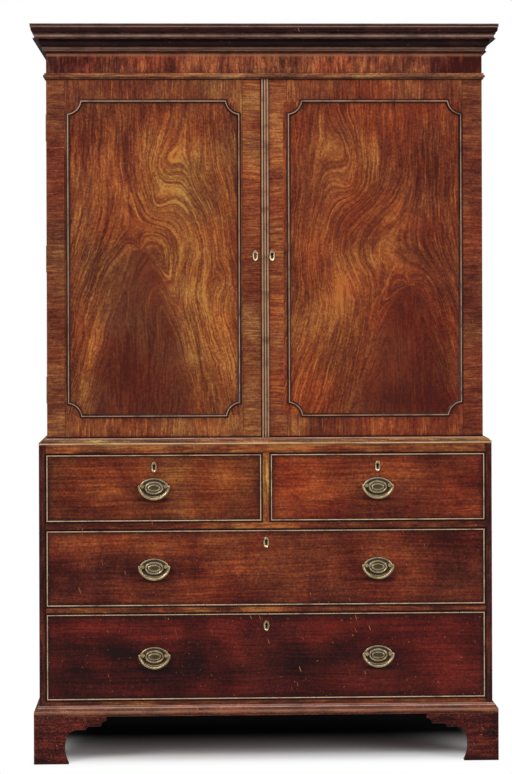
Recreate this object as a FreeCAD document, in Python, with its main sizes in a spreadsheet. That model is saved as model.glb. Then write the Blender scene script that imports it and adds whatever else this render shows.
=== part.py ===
"""A George III style linen press: a cupboard of trays on a chest of four drawers.

The frame has +Z up and -Y to the front. The origin is on the floor, under the middle of the
whole piece. Lengths are in millimetres.
"""
import FreeCAD, Part

import math
import os

import Sketcher

# Driving sizes. Everything else is worked out from these.
SIZES = {
    # cases
    "lower_width": 1259,
    "lower_depth": 560,
    "upper_inset": 22,
    "upper_setback": 17.5,
    "side_thick": 20,
    "back_thick": 10,
    "back_rebate": 12,
    "back_board_gap": 0.4,
    "foot_height": 131,
    "bottom_thick": 20,
    "sill_height": 23,
    "low_opening": 238.5,
    "middle_opening": 210.5,
    "top_opening": 186.5,
    "low_rail_thick": 21,
    "top_rail_thick": 24,
    "rail_depth": 65,
    "top_rail_height": 28,
    "top_board_thick": 16,
    "muntin_width": 25,
    "runner_width": 45,
    "guide_height": 30,
    "dust_thick": 8,
    "upper_bottom_thick": 18,
    "upper_top_thick": 16,
    "door_height": 996,
    "door_thick": 22,
    "door_gap": 1.4,
    "hinge_gap": 0.6,
    "frieze_show": 75,
    "cornice_height": 75,
    "cornice_reach": 42,
    "cornice_stand": 10,
    # mouldings
    "astragal_height": 16.5,
    "astragal_reach": 8,
    "waist_height": 15.5,
    "base_height": 28,
    "base_reach": 15,
    # bracket feet
    "foot_thick": 22,
    "foot_length": 200,
    "foot_toe": 96,
    "foot_waist": 88,
    "block_width": 48,
    "brace_length": 150,
    "brace_height": 72,
    # doors
    "stile_width": 62,
    "door_rail_width": 62,
    "tenon_length": 40,
    "tenon_thick": 8,
    "haunch": 12.4,
    "panel_tongue": 9,
    "groove_play": 0.5,
    "mould_margin": 55,
    "strip_margin": 50,
    "door_lock_width": 46,
    "mould_width": 11,
    "mould_thick": 5.5,
    "mould_round": 2.4,
    "mould_corner": 37,
    "meeting_gap": 1.6,
    "reed_width": 7.6,
    "reed_rise": 1.5,
    "keyhole_height": 505,
    "escutcheon_wide": 15,
    "escutcheon_tall": 30,
    "escutcheon_thick": 1.2,
    "key_inset": 8.3,
    "key_bore": 5,
    "key_slot": 2.6,
    "key_drop": 9,
    # hinges
    "hinge_length": 75,
    "hinge_inset": 95,
    "leaf_width": 17,
    "leaf_thick": 1.6,
    "knuckle_radius": 3,
    "pin_radius": 1.4,
    "pin_play": 0.05,
    "knuckle_gap": 0.3,
    "barrel_play": 0.5,
    # bolts on the left door
    "bolt_radius": 3,
    "bolt_length": 110,
    "bolt_plate_width": 22,
    "bolt_plate_length": 80,
    "bolt_plate_thick": 1.5,
    "bolt_keeper": 8,
    "bolt_knob_radius": 4,
    "bolt_inset": 24,
    "bolt_play": 0.1,
    "bolt_rest": 3,
    "bolt_throw": 12,
    # trays
    "tray_low": 952,
    "tray_pitch": 232,
    "tray_height": 118,
    "tray_scoop": 58,
    "tray_shoulder": 223,
    "tray_wall": 10,
    "tray_bottom": 6,
    "tray_setback": 40,
    "tray_play": 2,
    "tray_runner_width": 16,
    "tray_runner_height": 14,
    # drawers
    "drawer_depth": 500,
    "drawer_play": 0.8,
    "drawer_lift": 0.3,
    "front_thick": 22,
    "wall_thick": 11,
    "drawer_bottom_thick": 7,
    "bottom_rise": 10,
    "bottom_tongue": 6,
    "tail_lap": 3,
    "tail_slope": 3.5,
    "bead_thick": 3.2,
    "bead_deep": 9,
    "bead_stand": 3,
    "bead_round": 1.4,
    "lock_width": 62,
    "lock_height": 50,
    "key_from_top": 30,
    "lock_deep": 11,
    # brasses
    "plate_wide": 83,
    "plate_tall": 54,
    "plate_thick": 1.4,
    "ring_wide": 53,
    "ring_tall": 35,
    "boss_wide": 36,
    "boss_tall": 19,
    "raise_step": 1,
    "post_spacing": 63.5,
    "post_rise": 5,
    "post_radius": 4.6,
    "post_stand": 14,
    "post_bolt": 2.2,
    "post_nut": 6,
    "nut_thick": 3,
    "bolt_end": 1,
    "bail_arm": 12,
    "bail_drop": 35,
    "bail_pin": 2.2,
    "bail_bar": 3.4,
    "bail_bend": 24,
    "bail_play": 0.1,
    "pin_reach": 2.8,
    "bail_out": 11,
}

BACK_BOARDS = 6
HINGES_PER_DOOR = 3
TRAYS = 4
REEDS = 3
KNUCKLES = 5
FLAT = 1e-3

# How round an arc is: its radius as a number of its chord's lengths.
HALF_ROUND = 0.53
QUARTER_ROUND = 0.71
SHALLOW = 1.3
TAIL_SHARE = 0.68  # how much of a joint's pitch a dovetail takes
OVERCUT = 1  # how far a cutter runs past a face

doc = FreeCAD.newDocument("LinenPress")
sheet = doc.addObject("Spreadsheet::Sheet", "Dims")


class Size:
    """A length or a number, kept as its formula over the sheet and as its present value."""

    def __init__(self, formula, value):
        self.formula = formula
        self.value = value

    def __add__(self, other):
        other = as_size(other)
        return Size(f"({self.formula} + {other.formula})", self.value + other.value)

    def __sub__(self, other):
        other = as_size(other)
        return Size(f"({self.formula} - {other.formula})", self.value - other.value)

    def __mul__(self, other):
        other = as_size(other)
        return Size(f"({self.formula} * {other.formula})", self.value * other.value)

    def __truediv__(self, other):
        other = as_size(other)
        return Size(f"({self.formula} / {other.formula})", self.value / other.value)

    def __radd__(self, other):
        return as_size(other) + self

    def __rsub__(self, other):
        return as_size(other) - self

    def __rmul__(self, other):
        return as_size(other) * self

    def __neg__(self):
        return Size(f"(0 - {self.formula})", -self.value)

    def root(self):
        return Size(f"sqrt({self.formula})", math.sqrt(self.value))

    def arctangent(self):
        """The angle, in degrees, whose tangent this is."""
        return Size(f"(atan({self.formula}) / 1 deg)", math.degrees(math.atan(self.value)))


def as_size(number):
    return number if isinstance(number, Size) else Size(f"{number:.6f}", float(number))


class Dims:
    """The sheet's sizes, by their aliases."""


for row, (alias, number) in enumerate(SIZES.items(), start=1):
    sheet.set(f"A{row}", alias.replace("_", " "))
    sheet.set(f"B{row}", str(number))
    sheet.setAlias(f"B{row}", alias)
    setattr(Dims, alias, Size(f"Dims.{alias}", float(number)))
doc.recompute()


# ---------------------------------------------------------------- drawing helpers

nodes = {}
cuts = []


def bind(target, **links):
    """Ties properties to formulas. A double underscore in a name stands for a dot."""
    for path, size in links.items():
        target.setExpression(path.replace("__", "."), as_size(size).formula)


def node(label, *pieces):
    """Keeps one sub-part under its label: a single piece, or a group of separate pieces."""
    kept = pieces[0]
    if len(pieces) > 1:
        kept = doc.addObject("Part::Compound", label)
        kept.Links = list(pieces)
    kept.Label = label
    nodes[label] = kept


def new_body(name):
    return doc.addObject("PartDesign::Body", name)


def sketch(body, role, offset):
    """A sketch on one of the body's origin planes, moved along that plane's normal."""
    plane = next(o for o in body.Origin.OriginFeatures if o.Role == role)
    made = body.newObject("Sketcher::SketchObject", body.Name + "Sketch")
    made.AttachmentSupport = [(plane, "")]
    made.MapMode = "FlatFace"
    bind(made, AttachmentOffset__Base__z=offset)
    return made


def arc_through(start, end, radius):
    """The short arc between two points, anticlockwise: a negative radius runs it backwards."""
    chord = end - start
    rise = math.sqrt(max(radius * radius - chord.Length * chord.Length / 4, 0))
    left = FreeCAD.Vector(-chord.y, chord.x, 0).normalize()
    middle = (start + end) / 2
    centre = middle + left * math.copysign(rise, radius)
    out = (middle - centre).normalize() if rise else left * -math.copysign(1, radius)
    crown = centre + out * abs(radius)
    return Part.Arc(start, crown, end) if radius > 0 else Part.Arc(end, crown, start)


def bend_radius(before, corner):
    """The radius of the arc that ends at a corner: a Size as it is, or a number of chords."""
    if isinstance(corner[2], Size):
        return corner[2]
    u, v = as_size(corner[0]) - before[0], as_size(corner[1]) - before[1]
    return (u * u + v * v).root() * corner[2]


def draw_loop(made, corners):
    """Draws a closed outline. A corner is (u, v), or (u, v, bend) where an arc ends there."""
    points = [FreeCAD.Vector(as_size(c[0]).value, as_size(c[1]).value, 0) for c in corners]
    ends = []
    for i, corner in enumerate(corners):
        start, end = points[i - 1], points[i]
        if len(corner) == 3:
            radius = bend_radius(corners[i - 1], corner)
            left_bend = radius.value > 0
            index = made.addGeometry(arc_through(start, end, radius.value), False)
            size = radius if left_bend else -radius
            fixed = made.addConstraint(Sketcher.Constraint("Radius", index, size.value))
            made.setExpression(f"Constraints[{fixed}]", size.formula)
            ends.append((index, 1, 2) if left_bend else (index, 2, 1))
        else:
            index = made.addGeometry(Part.LineSegment(start, end), False)
            ends.append((index, 1, 2))
    for i, corner in enumerate(corners):
        index, _, end = ends[i]
        following, start, _ = ends[(i + 1) % len(ends)]
        made.addConstraint(Sketcher.Constraint("Coincident", index, end, following, start))
        for kind, size in (("DistanceX", corner[0]), ("DistanceY", corner[1])):
            size = as_size(size)
            fixed = made.addConstraint(Sketcher.Constraint(kind, -1, 1, index, end, size.value))
            made.setExpression(f"Constraints[{fixed}]", size.formula)


def draw_circle(made, u, v, radius):
    u, v, radius = as_size(u), as_size(v), as_size(radius)
    round_line = Part.Circle(FreeCAD.Vector(u.value, v.value, 0), FreeCAD.Vector(0, 0, 1), radius.value)
    index = made.addGeometry(round_line, False)
    for kind, size, place in (
        ("DistanceX", u, (-1, 1, index, 3)),
        ("DistanceY", v, (-1, 1, index, 3)),
        ("Radius", radius, (index,)),
    ):
        fixed = made.addConstraint(Sketcher.Constraint(kind, *place, size.value))
        made.setExpression(f"Constraints[{fixed}]", size.formula)


def draw(made, loops):
    """Draws outlines: a list of corners each, or a dictionary for a circle."""
    for loop in loops:
        if isinstance(loop, dict):
            draw_circle(made, **loop)
        else:
            draw_loop(made, loop)


PLANES = {"front": "XZ_Plane", "side": "YZ_Plane", "plan": "XY_Plane"}


def prism(body, view, low, high, *loops):
    """Adds outlines drawn in a view, from low to high along the axis that the view looks down."""
    offset = -as_size(high) if view == "front" else low
    made = sketch(body, PLANES[view], offset)
    draw(made, loops)
    pad = body.newObject("PartDesign::Pad", body.Name + "Pad")
    pad.Profile = made
    bind(pad, Length=as_size(high) - low)
    made.Visibility = False
    return pad


def carve(body, view, low, high, *loops):
    """Takes outlines away between low and high along the axis that the view looks down."""
    offset = -as_size(low) if view == "front" else high
    made = sketch(body, PLANES[view], offset)
    draw(made, loops)
    pocket = body.newObject("PartDesign::Pocket", body.Name + "Pocket")
    pocket.Profile = made
    bind(pocket, Length=as_size(high) - low)
    made.Visibility = False
    cuts.append(pocket)
    return pocket


def rectangle(u0, u1, v0, v1):
    return [(u0, v0), (u1, v0), (u1, v1), (u0, v1)]


def board(name, x0, x1, y0, y1, z0, z1):
    """A plain squared board."""
    box = doc.addObject("Part::Box", name)
    x0, y0, z0 = as_size(x0), as_size(y0), as_size(z0)
    bind(box, Length=x1 - x0, Width=y1 - y0, Height=z1 - z0)
    bind(box, Placement__Base__x=x0, Placement__Base__y=y0, Placement__Base__z=z0)
    return box


TURNS = {
    "z": FreeCAD.Rotation(),
    "x": FreeCAD.Rotation(FreeCAD.Vector(0, 1, 0), 90),
    "-y": FreeCAD.Rotation(FreeCAD.Vector(1, 0, 0), 90),
    "y": FreeCAD.Rotation(FreeCAD.Vector(1, 0, 0), -90),
}


def place(made, x, y, z, axis="z"):
    made.Placement = FreeCAD.Placement(FreeCAD.Vector(), TURNS[axis])
    bind(made, Placement__Base__x=x, Placement__Base__y=y, Placement__Base__z=z)
    return made


def rod(name, x, y, z, radius, length, axis="z"):
    """A round bar that starts at a point and runs along an axis."""
    made = doc.addObject("Part::Cylinder", name)
    bind(made, Radius=radius, Height=length)
    return place(made, x, y, z, axis)


def fuse(name, *pieces):
    made = doc.addObject("Part::MultiFuse", name)
    made.Shapes = list(pieces)
    made.Refine = True
    return made


def cut(name, base, *tools):
    made = doc.addObject("Part::Cut", name)
    made.Base = base
    made.Tool = tools[0] if len(tools) == 1 else fuse(name + "Tools", *tools)
    return made


def mirror(name, source):
    """The same piece for the other side of the middle plane."""
    made = doc.addObject("Part::Mirroring", name)
    made.Source = source
    made.Normal = FreeCAD.Vector(1, 0, 0)
    return made


def soften(body, front_y, kind, **size):
    """Rounds (Fillet) or bevels (Chamfer) the edges of the face that lies in the plane front_y."""
    doc.recompute()
    base = body.Tip
    names = [
        f"Face{i}" for i, face in enumerate(base.Shape.Faces, 1)
        if abs(face.CenterOfMass.y - front_y.value) < FLAT
    ]
    edge = body.newObject(f"PartDesign::{kind}", body.Name + kind)
    edge.Base = (base, names)
    bind(edge, **size)
    return edge


# ---------------------------------------------------------------- levels and planes

D = Dims
half_lower = D.lower_width / 2
half_upper = half_lower - D.upper_inset
back = (D.lower_depth - D.upper_setback + D.cornice_reach) / 2
lower_face = back - D.lower_depth
upper_face = lower_face + D.upper_setback
door_back = upper_face + D.door_thick
case_front = door_back + D.hinge_gap
inner_back = back - D.back_thick

floor_level = D.foot_height + D.bottom_thick
low_sill = floor_level + D.sill_height
low_top = low_sill + D.low_opening
middle_sill = low_top + D.low_rail_thick
middle_top = middle_sill + D.middle_opening
top_sill = middle_top + D.top_rail_thick
top_top = top_sill + D.top_opening
lower_top = top_top + D.top_rail_height

door_low = lower_top + D.waist_height + D.door_gap
door_high = door_low + D.door_height
frieze_low = door_high + D.door_gap
cornice_low = frieze_low + D.frieze_show
cornice_high = cornice_low + D.cornice_height
upper_high = cornice_high - D.cornice_stand
upper_floor = lower_top + D.upper_bottom_thick
lower_inside = half_lower - D.side_thick
upper_inside = half_upper - D.side_thick


# ---------------------------------------------------------------- carcases

def case_side(name, half, front, low, high):
    """A case side, rebated at the back for the back boards."""
    body = new_body(name)
    prism(body, "plan", low, high, [
        (-half, front),
        (-half + D.side_thick, front),
        (-half + D.side_thick, inner_back),
        (-half + D.side_thick - D.back_rebate, inner_back),
        (-half + D.side_thick - D.back_rebate, back),
        (-half, back),
    ])
    return body


def back_boards(name, inside, low, high):
    """Upright backing boards, side by side in the rebates of the case sides."""
    half = inside + D.back_rebate
    pitch = half * 2 / BACK_BOARDS
    return [
        board(f"{name}{i}", -half + pitch * i, -half + pitch * (i + 1) - D.back_board_gap,
              inner_back, back, low, high)
        for i in range(BACK_BOARDS)
    ]


def carcases():
    lower_left = case_side("LowerSide", half_lower, lower_face, D.foot_height, lower_top)
    node("lower_side_left", lower_left)
    node("lower_side_right", mirror("LowerSideRight", lower_left))
    node("lower_bottom_board", board(
        "LowerBottom", -lower_inside, lower_inside, lower_face, inner_back, D.foot_height, floor_level))
    node("lower_top_board", board(
        "LowerTop", -lower_inside, lower_inside, lower_face + D.rail_depth, inner_back,
        lower_top - D.top_board_thick, lower_top))
    node("lower_back_boards", *back_boards("LowerBack", lower_inside, D.foot_height, lower_top))

    upper_left = case_side("UpperSide", half_upper, case_front, lower_top, upper_high)
    hinge_seats(upper_left)
    node("upper_side_left", upper_left)
    node("upper_side_right", mirror("UpperSideRight", upper_left))
    node("upper_top_board", board(
        "UpperTop", -upper_inside, upper_inside, case_front, inner_back,
        upper_high - D.upper_top_thick, upper_high))
    floor_board = cut(
        "UpperBottom",
        board("UpperBottomPlain", -upper_inside, upper_inside, case_front, inner_back,
              lower_top, upper_floor),
        rod("BoltHole", bolt_x(), bolt_y(), lower_top - D.door_gap, D.bolt_radius + D.bolt_play,
            D.upper_bottom_thick + 2 * D.door_gap),
    )
    lipping = board("UpperLipping", -half_upper, half_upper, upper_face, case_front,
                    lower_top, lower_top + D.waist_height)
    node("upper_bottom_board", floor_board, lipping)
    node("upper_back_boards", *back_boards("UpperBack", upper_inside, lower_top, upper_high))
    node("frieze", board("Frieze", -half_upper, half_upper, upper_face, case_front,
                         frieze_low, upper_high))


def rails_and_runners():
    front = lower_face + D.rail_depth
    rails = [
        board("RailSill", -lower_inside, lower_inside, lower_face, front, floor_level, low_sill),
        board("RailLow", -lower_inside, lower_inside, lower_face, front, low_top, middle_sill),
        board("RailMiddle", -lower_inside, lower_inside, lower_face, front, middle_top, top_sill),
        board("RailTop", -lower_inside, lower_inside, lower_face, front, top_top, lower_top),
    ]
    node("drawer_rails", *rails)
    half_muntin = D.muntin_width / 2
    node("drawer_muntin", board(
        "Muntin", -half_muntin, half_muntin, lower_face, front, top_sill, top_top))

    runners = [
        board(f"Runner{i}", -lower_inside, -lower_inside + D.runner_width, front, inner_back, low, high)
        for i, (low, high) in enumerate(
            ((floor_level, low_sill), (low_top, middle_sill), (middle_top, top_sill)))
    ]
    runners += [mirror(f"RunnerRight{i}", left) for i, left in enumerate(list(runners))]
    middle = D.runner_width / 2
    runners.append(board("RunnerMiddle", -middle, middle, front, inner_back, middle_top, top_sill))
    runners.append(board(
        "MuntinGuide", -half_muntin, half_muntin, front, inner_back, top_sill,
        top_sill + D.guide_height))
    node("drawer_runners", *runners)

    inside = lower_inside - D.runner_width
    low = low_top + (D.low_rail_thick - D.dust_thick) / 2
    high = middle_top + (D.top_rail_thick - D.dust_thick) / 2
    node("dust_boards",
         board("DustLow", -inside, inside, front, inner_back, low, low + D.dust_thick),
         board("DustLeft", -inside, -middle, front, inner_back, high, high + D.dust_thick),
         board("DustRight", middle, inside, front, inner_back, high, high + D.dust_thick))


# ---------------------------------------------------------------- mouldings

# Each corner of a section: the share of its reach, the share of its height, and the bend of an arc
# that ends there. The wall's own two corners are added where the section is drawn.
CORNICE_SECTION = (
    (0.31, 0),
    (0.31, 0.15, HALF_ROUND),
    (0.22, 0.19),
    (0.47, 0.44, -QUARTER_ROUND),
    (0.84, 0.45),
    (0.84, 0.64, HALF_ROUND),
    (0.80, 0.67),
    (0.93, 0.87, -QUARTER_ROUND),
    (1, 0.88),
    (1, 1),
)
ASTRAGAL_SECTION = (
    (0.55, 0),
    (0.55, 0.2),
    (1, 0.34, QUARTER_ROUND),
    (1, 0.66),
    (0.55, 0.8, QUARTER_ROUND),
    (0.55, 1),
)
WAIST_SECTION = (
    (1, 0),
    (1, 0.28),
    (0.82, 0.34),
    (0.25, 0.86, -QUARTER_ROUND),
    (0.16, 1),
)
BASE_SECTION = (
    (1, 0),
    (1, 0.45),
    (0.86, 0.52),
    (0.34, 0.88, QUARTER_ROUND),
    (0.24, 1),
)
# The shaped lower edge of a bracket foot, from the toe's waist to the end of its bracket: the share
# of that run, the share of the foot's height, and the bend.
FOOT_SHAPE = (
    (0, 0.49, -SHALLOW),
    (0.35, 0.72, -QUARTER_ROUND),
    (0.49, 0.72),
    (0.63, 0.79, -QUARTER_ROUND),
    (0.87, 0.79),
    (1, 0.91, -QUARTER_ROUND),
)


def section(shape, reach, low, tall):
    """The corners of a moulding's section against a wall, from its shares."""
    corners = [(reach * c[0], low + tall * c[1], *c[2:]) for c in shape]
    return [(0, low), *corners, (0, low + tall)]


def mitred_moulding(name, profile, half, face, reach):
    """A front length and two returns of one section, mitred at the corners.

    The profile is a list of corners (distance out from the case, height), with radii for arcs.
    """
    front = new_body(name + "Front")
    prism(front, "side", -(half + reach), half + reach,
          [(face - corner[0], *corner[1:]) for corner in profile])
    low, high = profile[0][1] - reach, profile[-1][1] + reach
    mitre = [(half, face), (half + reach, face), (half + reach, face - reach)]
    carve(front, "plan", low, high, mitre, [(-u, v) for u, v in mitre])
    side = new_body(name + "Side")
    prism(side, "front", face - reach, back, [(-half - c[0], *c[1:]) for c in profile])
    carve(side, "plan", low, high,
          [(-half, face), (-half, face - reach), (-half - reach, face - reach)])
    return front, side, mirror(name + "SideRight", side)


def mouldings():
    """Cornice, frieze astragal, waist and base mouldings."""
    for label, name, shape, half, face, reach, low, tall in (
        ("cornice", "Cornice", CORNICE_SECTION, half_upper, upper_face, D.cornice_reach,
         cornice_low, D.cornice_height),
        ("frieze_astragal", "Astragal", ASTRAGAL_SECTION, half_upper, upper_face, D.astragal_reach,
         frieze_low, D.astragal_height),
        ("waist_moulding", "Waist", WAIST_SECTION, half_upper, upper_face, D.upper_inset,
         lower_top, D.waist_height),
        ("base_moulding", "Base", BASE_SECTION, half_lower, lower_face, D.base_reach,
         D.foot_height, D.base_height),
    ):
        node(label, *mitred_moulding(name, section(shape, reach, low, tall), half, face, reach))


# ---------------------------------------------------------------- feet

def foot_outline(start, way):
    """A shaped bracket foot seen square on: start is its outer edge, way is +1 or -1 inwards."""
    waist, end, tall = D.foot_waist, D.foot_length, D.foot_height
    shaped = [(waist + (end - waist) * c[0], tall * c[1], *c[2:]) for c in FOOT_SHAPE]
    corners = [(0, 0), (D.foot_toe, 0), *shaped, (end, tall), (0, tall)]
    return [(start + way * as_size(c[0]), as_size(c[1]), *(way * bend for bend in c[2:]))
            for c in corners]


def feet():
    """Bracket feet: mitred faces with a glue block in the corner behind them."""
    outer_x = half_lower + D.base_reach
    outer_y = lower_face - D.base_reach
    thick = D.foot_thick

    face = new_body("FootFace")
    prism(face, "front", outer_y, outer_y + thick, foot_outline(-outer_x, 1))
    carve(face, "plan", 0, D.foot_height, [
        (-outer_x, outer_y), (-outer_x + thick, outer_y + thick), (-outer_x, outer_y + thick)])
    side = new_body("FootSide")
    prism(side, "side", -outer_x, -outer_x + thick, foot_outline(outer_y, 1))
    carve(side, "plan", 0, D.foot_height, [
        (-outer_x, outer_y), (-outer_x + thick, outer_y), (-outer_x + thick, outer_y + thick)])
    block = board("FootBlock", -outer_x + thick, -outer_x + thick + D.block_width,
                  outer_y + thick, outer_y + thick + D.block_width, 0, D.foot_height)
    node("front_left_foot", face, side, block)
    node("front_right_foot", *(mirror(p.Name + "Right", p) for p in (face, side, block)))

    rear_side = new_body("RearFootSide")
    prism(rear_side, "side", -outer_x, -outer_x + thick, foot_outline(back, -1))
    rear_brace = board("RearBrace", -outer_x + thick, -outer_x + D.brace_length,
                       back - thick, back, D.foot_height - D.brace_height, D.foot_height)
    rear_block = board("RearBlock", -outer_x + thick, -outer_x + thick + D.block_width,
                       back - thick - D.block_width, back - thick, 0, D.foot_height)
    rear = (rear_side, rear_brace, rear_block)
    node("back_feet", *rear, *(mirror(p.Name + "Right", p) for p in rear))


# ---------------------------------------------------------------- doors

strip_half = D.reed_width * REEDS / 2
left_meeting = -strip_half - D.meeting_gap / 2
right_meeting = -strip_half + D.meeting_gap / 2


def hinge_levels():
    """Lower ends of the hinges, evenly spread up the door."""
    low = door_low + D.hinge_inset
    step = (D.door_height - 2 * D.hinge_inset - D.hinge_length) / (HINGES_PER_DOOR - 1)
    return [low + step * i for i in range(HINGES_PER_DOOR)]


def hinge_seats(body):
    """Seats for the hinge leaves and their barrels, let into the front edge of a case side."""
    for level in hinge_levels():
        carve(body, "plan", level, level + D.hinge_length,
              rectangle(-half_upper, -half_upper + D.leaf_width, case_front,
                        case_front + D.leaf_thick - D.hinge_gap / 2))
        carve(body, "plan", level, level + D.hinge_length,
              {"u": -half_upper, "v": door_back + D.hinge_gap / 2,
               "radius": D.knuckle_radius + D.barrel_play})


def door_frame(name, inner_edge):
    """Two stiles and two rails, mortised and tenoned and grooved for the panel.

    The door is drawn on the left, from the case's outside to inner_edge, its meeting edge.
    """
    front, rear = upper_face, door_back
    stile, rail = D.stile_width, D.door_rail_width
    mid = (front + rear) / 2
    half_tenon = D.tenon_thick / 2
    groove = D.panel_tongue + D.groove_play
    outer = -half_upper
    pieces = []
    for label, edge, way in (("Hanging", outer, 1), ("Meeting", inner_edge, -1)):
        inner = edge + way * stile
        left, right = (edge, inner) if way > 0 else (inner, edge)
        body = new_body(name + label)
        prism(body, "plan", door_low, door_high, rectangle(left, right, front, rear))
        if way > 0:
            slot = rectangle(inner - groove, inner, mid - half_tenon, mid + half_tenon)
            deep = rectangle(inner - D.tenon_length, inner, mid - half_tenon, mid + half_tenon)
        else:
            slot = rectangle(inner, inner + groove, mid - half_tenon, mid + half_tenon)
            deep = rectangle(inner, inner + D.tenon_length, mid - half_tenon, mid + half_tenon)
        carve(body, "plan", door_low + rail, door_high - rail, slot)
        for low in (door_low + D.haunch, door_high - rail):
            carve(body, "plan", low, low + rail - D.haunch, deep)
        pieces.append(body)
    left, right = outer + stile, inner_edge - stile
    for label, low, way in (("Bottom", door_low, 1), ("Top", door_high - rail, -1)):
        body = new_body(name + label)
        prism(body, "front", front, rear, rectangle(left, right, low, low + rail))
        tenon_low = low + D.haunch if way > 0 else low
        prism(body, "front", mid - half_tenon, mid + half_tenon,
              rectangle(left - D.tenon_length, right + D.tenon_length, tenon_low,
                        tenon_low + rail - D.haunch))
        edge = (low + rail - groove, low + rail) if way > 0 else (low, low + groove)
        carve(body, "front", mid - half_tenon, mid + half_tenon,
              rectangle(left - D.tenon_length, right + D.tenon_length, *edge))
        pieces.append(body)
    return pieces


def door_panel(name, inner_edge):
    """A flush panel with a tongue all round."""
    left, right = -half_upper + D.stile_width, inner_edge - D.stile_width
    low, high = door_low + D.door_rail_width, door_high - D.door_rail_width
    mid = (upper_face + door_back) / 2
    half_tongue = D.tenon_thick / 2
    body = new_body(name)
    prism(body, "front", upper_face, door_back, rectangle(left, right, low, high))
    reach = D.panel_tongue
    prism(body, "front", mid - half_tongue, mid + half_tongue,
          rectangle(left - reach, right + reach, low - reach, high + reach))
    return body


def cut_cornered(left, right, low, high, radius, inset):
    """A rectangle with scooped corners, drawn inset by a distance from the outer one."""
    side = ((radius + inset) * (radius + inset) - inset * inset).root() if inset else as_size(radius)
    u0, u1, v0, v1 = left + inset, right - inset, low + inset, high - inset
    bend = -(as_size(radius) + inset)
    return [
        (left + side, v0),
        (right - side, v0),
        (u1, low + side, bend),
        (u1, high - side),
        (right - side, v1, bend),
        (left + side, v1),
        (u0, high - side, bend),
        (u0, low + side),
        (left + side, v0, bend),
    ][1:]


def door_moulding(name, left, right):
    """The bead planted on the door face, with scooped corners."""
    low, high = door_low + D.mould_margin, door_high - D.mould_margin
    body = new_body(name)
    prism(body, "front", upper_face - D.mould_thick, upper_face,
          cut_cornered(left, right, low, high, D.mould_corner, 0),
          cut_cornered(left, right, low, high, D.mould_corner, D.mould_width))
    soften(body, upper_face - D.mould_thick, "Chamfer", Size=D.mould_round)
    return body


def keyhole(x, y0, y1, z):
    """Tools that cut a keyhole: a round bore with a slot under it."""
    bore = rod("KeyBore", x, y0, z, D.key_bore / 2, y1 - y0, "y")
    slot = board("KeySlot", x - D.key_slot / 2, x + D.key_slot / 2, y0, y1, z - D.key_drop, z)
    return fuse("Keyhole", bore, slot)


def oval(name, x, y, z, wide, tall, thick, taper=0):
    """An oval plate that stands on the plane y and comes forward, its long way upright if tall."""
    upright = tall.value > wide.value
    line = doc.addObject("Part::Ellipse", name + "Line")
    bind(line, MajorRadius=(tall if upright else wide) / 2, MinorRadius=(wide if upright else tall) / 2)
    turn = FreeCAD.Rotation(FreeCAD.Vector(0, 1, 0), -90) if upright else FreeCAD.Rotation()
    line.Placement = FreeCAD.Placement(FreeCAD.Vector(), turn.multiply(TURNS["-y"]))
    bind(line, Placement__Base__x=x, Placement__Base__y=y, Placement__Base__z=z)
    made = doc.addObject("Part::Extrusion", name)
    made.Base = line
    made.DirMode = "Custom"
    made.Dir = FreeCAD.Vector(0, -1, 0)
    made.Solid = True
    made.TaperAngle = taper
    bind(made, LengthFwd=thick)
    return made


def escutcheon(name, x, face, z):
    """A small oval brass round a keyhole, its hole straight through."""
    plate = oval(name + "Plate", x, face, z, D.escutcheon_wide, D.escutcheon_tall, D.escutcheon_thick)
    hole = keyhole(x, face - 2 * D.escutcheon_thick, face + D.escutcheon_thick,
                   z + D.key_drop / 2)
    return cut(name, plate, hole)


def hinge_half(name, level, leaf_y, order):
    """One leaf of a butt hinge with its own knuckles, bored for the pin. Drawn on the left."""
    axis_x, axis_y = -half_upper, door_back + D.hinge_gap / 2
    step = D.hinge_length / KNUCKLES
    leaf = board(name + "Leaf", axis_x, axis_x + D.leaf_width, leaf_y, leaf_y + D.leaf_thick - D.hinge_gap / 2,
                 level, level + D.hinge_length)
    clear = [
        rod(f"{name}Clear{k}", axis_x, axis_y, level + step * k - D.knuckle_gap / 2,
            D.knuckle_radius + D.knuckle_gap, step + D.knuckle_gap)
        for k in range(KNUCKLES) if k % 2 != order
    ]
    own = [
        rod(f"{name}Knuckle{k}", axis_x, axis_y, level + step * k + D.knuckle_gap / 2,
            D.knuckle_radius, step - D.knuckle_gap)
        for k in range(KNUCKLES) if k % 2 == order
    ]
    solid = fuse(name + "Solid", cut(name + "Relieved", leaf, *clear), *own)
    bore = rod(name + "Bore", axis_x, axis_y, level - D.knuckle_gap, D.pin_radius + D.pin_play,
               D.hinge_length + 2 * D.knuckle_gap)
    return cut(name, solid, bore)


def hinges():
    """Three butt hinges to a door: leaves on the case with their pins, leaves on the doors."""
    case_parts, door_parts = [], []
    for i, level in enumerate(hinge_levels()):
        case_parts.append(hinge_half(f"CaseLeaf{i}", level, case_front, 0))
        pin = rod(f"HingePin{i}", -half_upper, door_back + D.hinge_gap / 2, level, D.pin_radius,
                  D.hinge_length)
        case_parts.append(pin)
        door_parts.append(hinge_half(
            f"DoorLeaf{i}", level, door_back - D.leaf_thick + D.hinge_gap / 2, 1))
    node("case_hinge_leaves", *case_parts, *(mirror(p.Name + "Right", p) for p in case_parts))
    node("left_door_hinge_leaves", *door_parts)
    node("right_door_hinge_leaves", *(mirror(p.Name + "Right", p) for p in door_parts))


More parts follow.
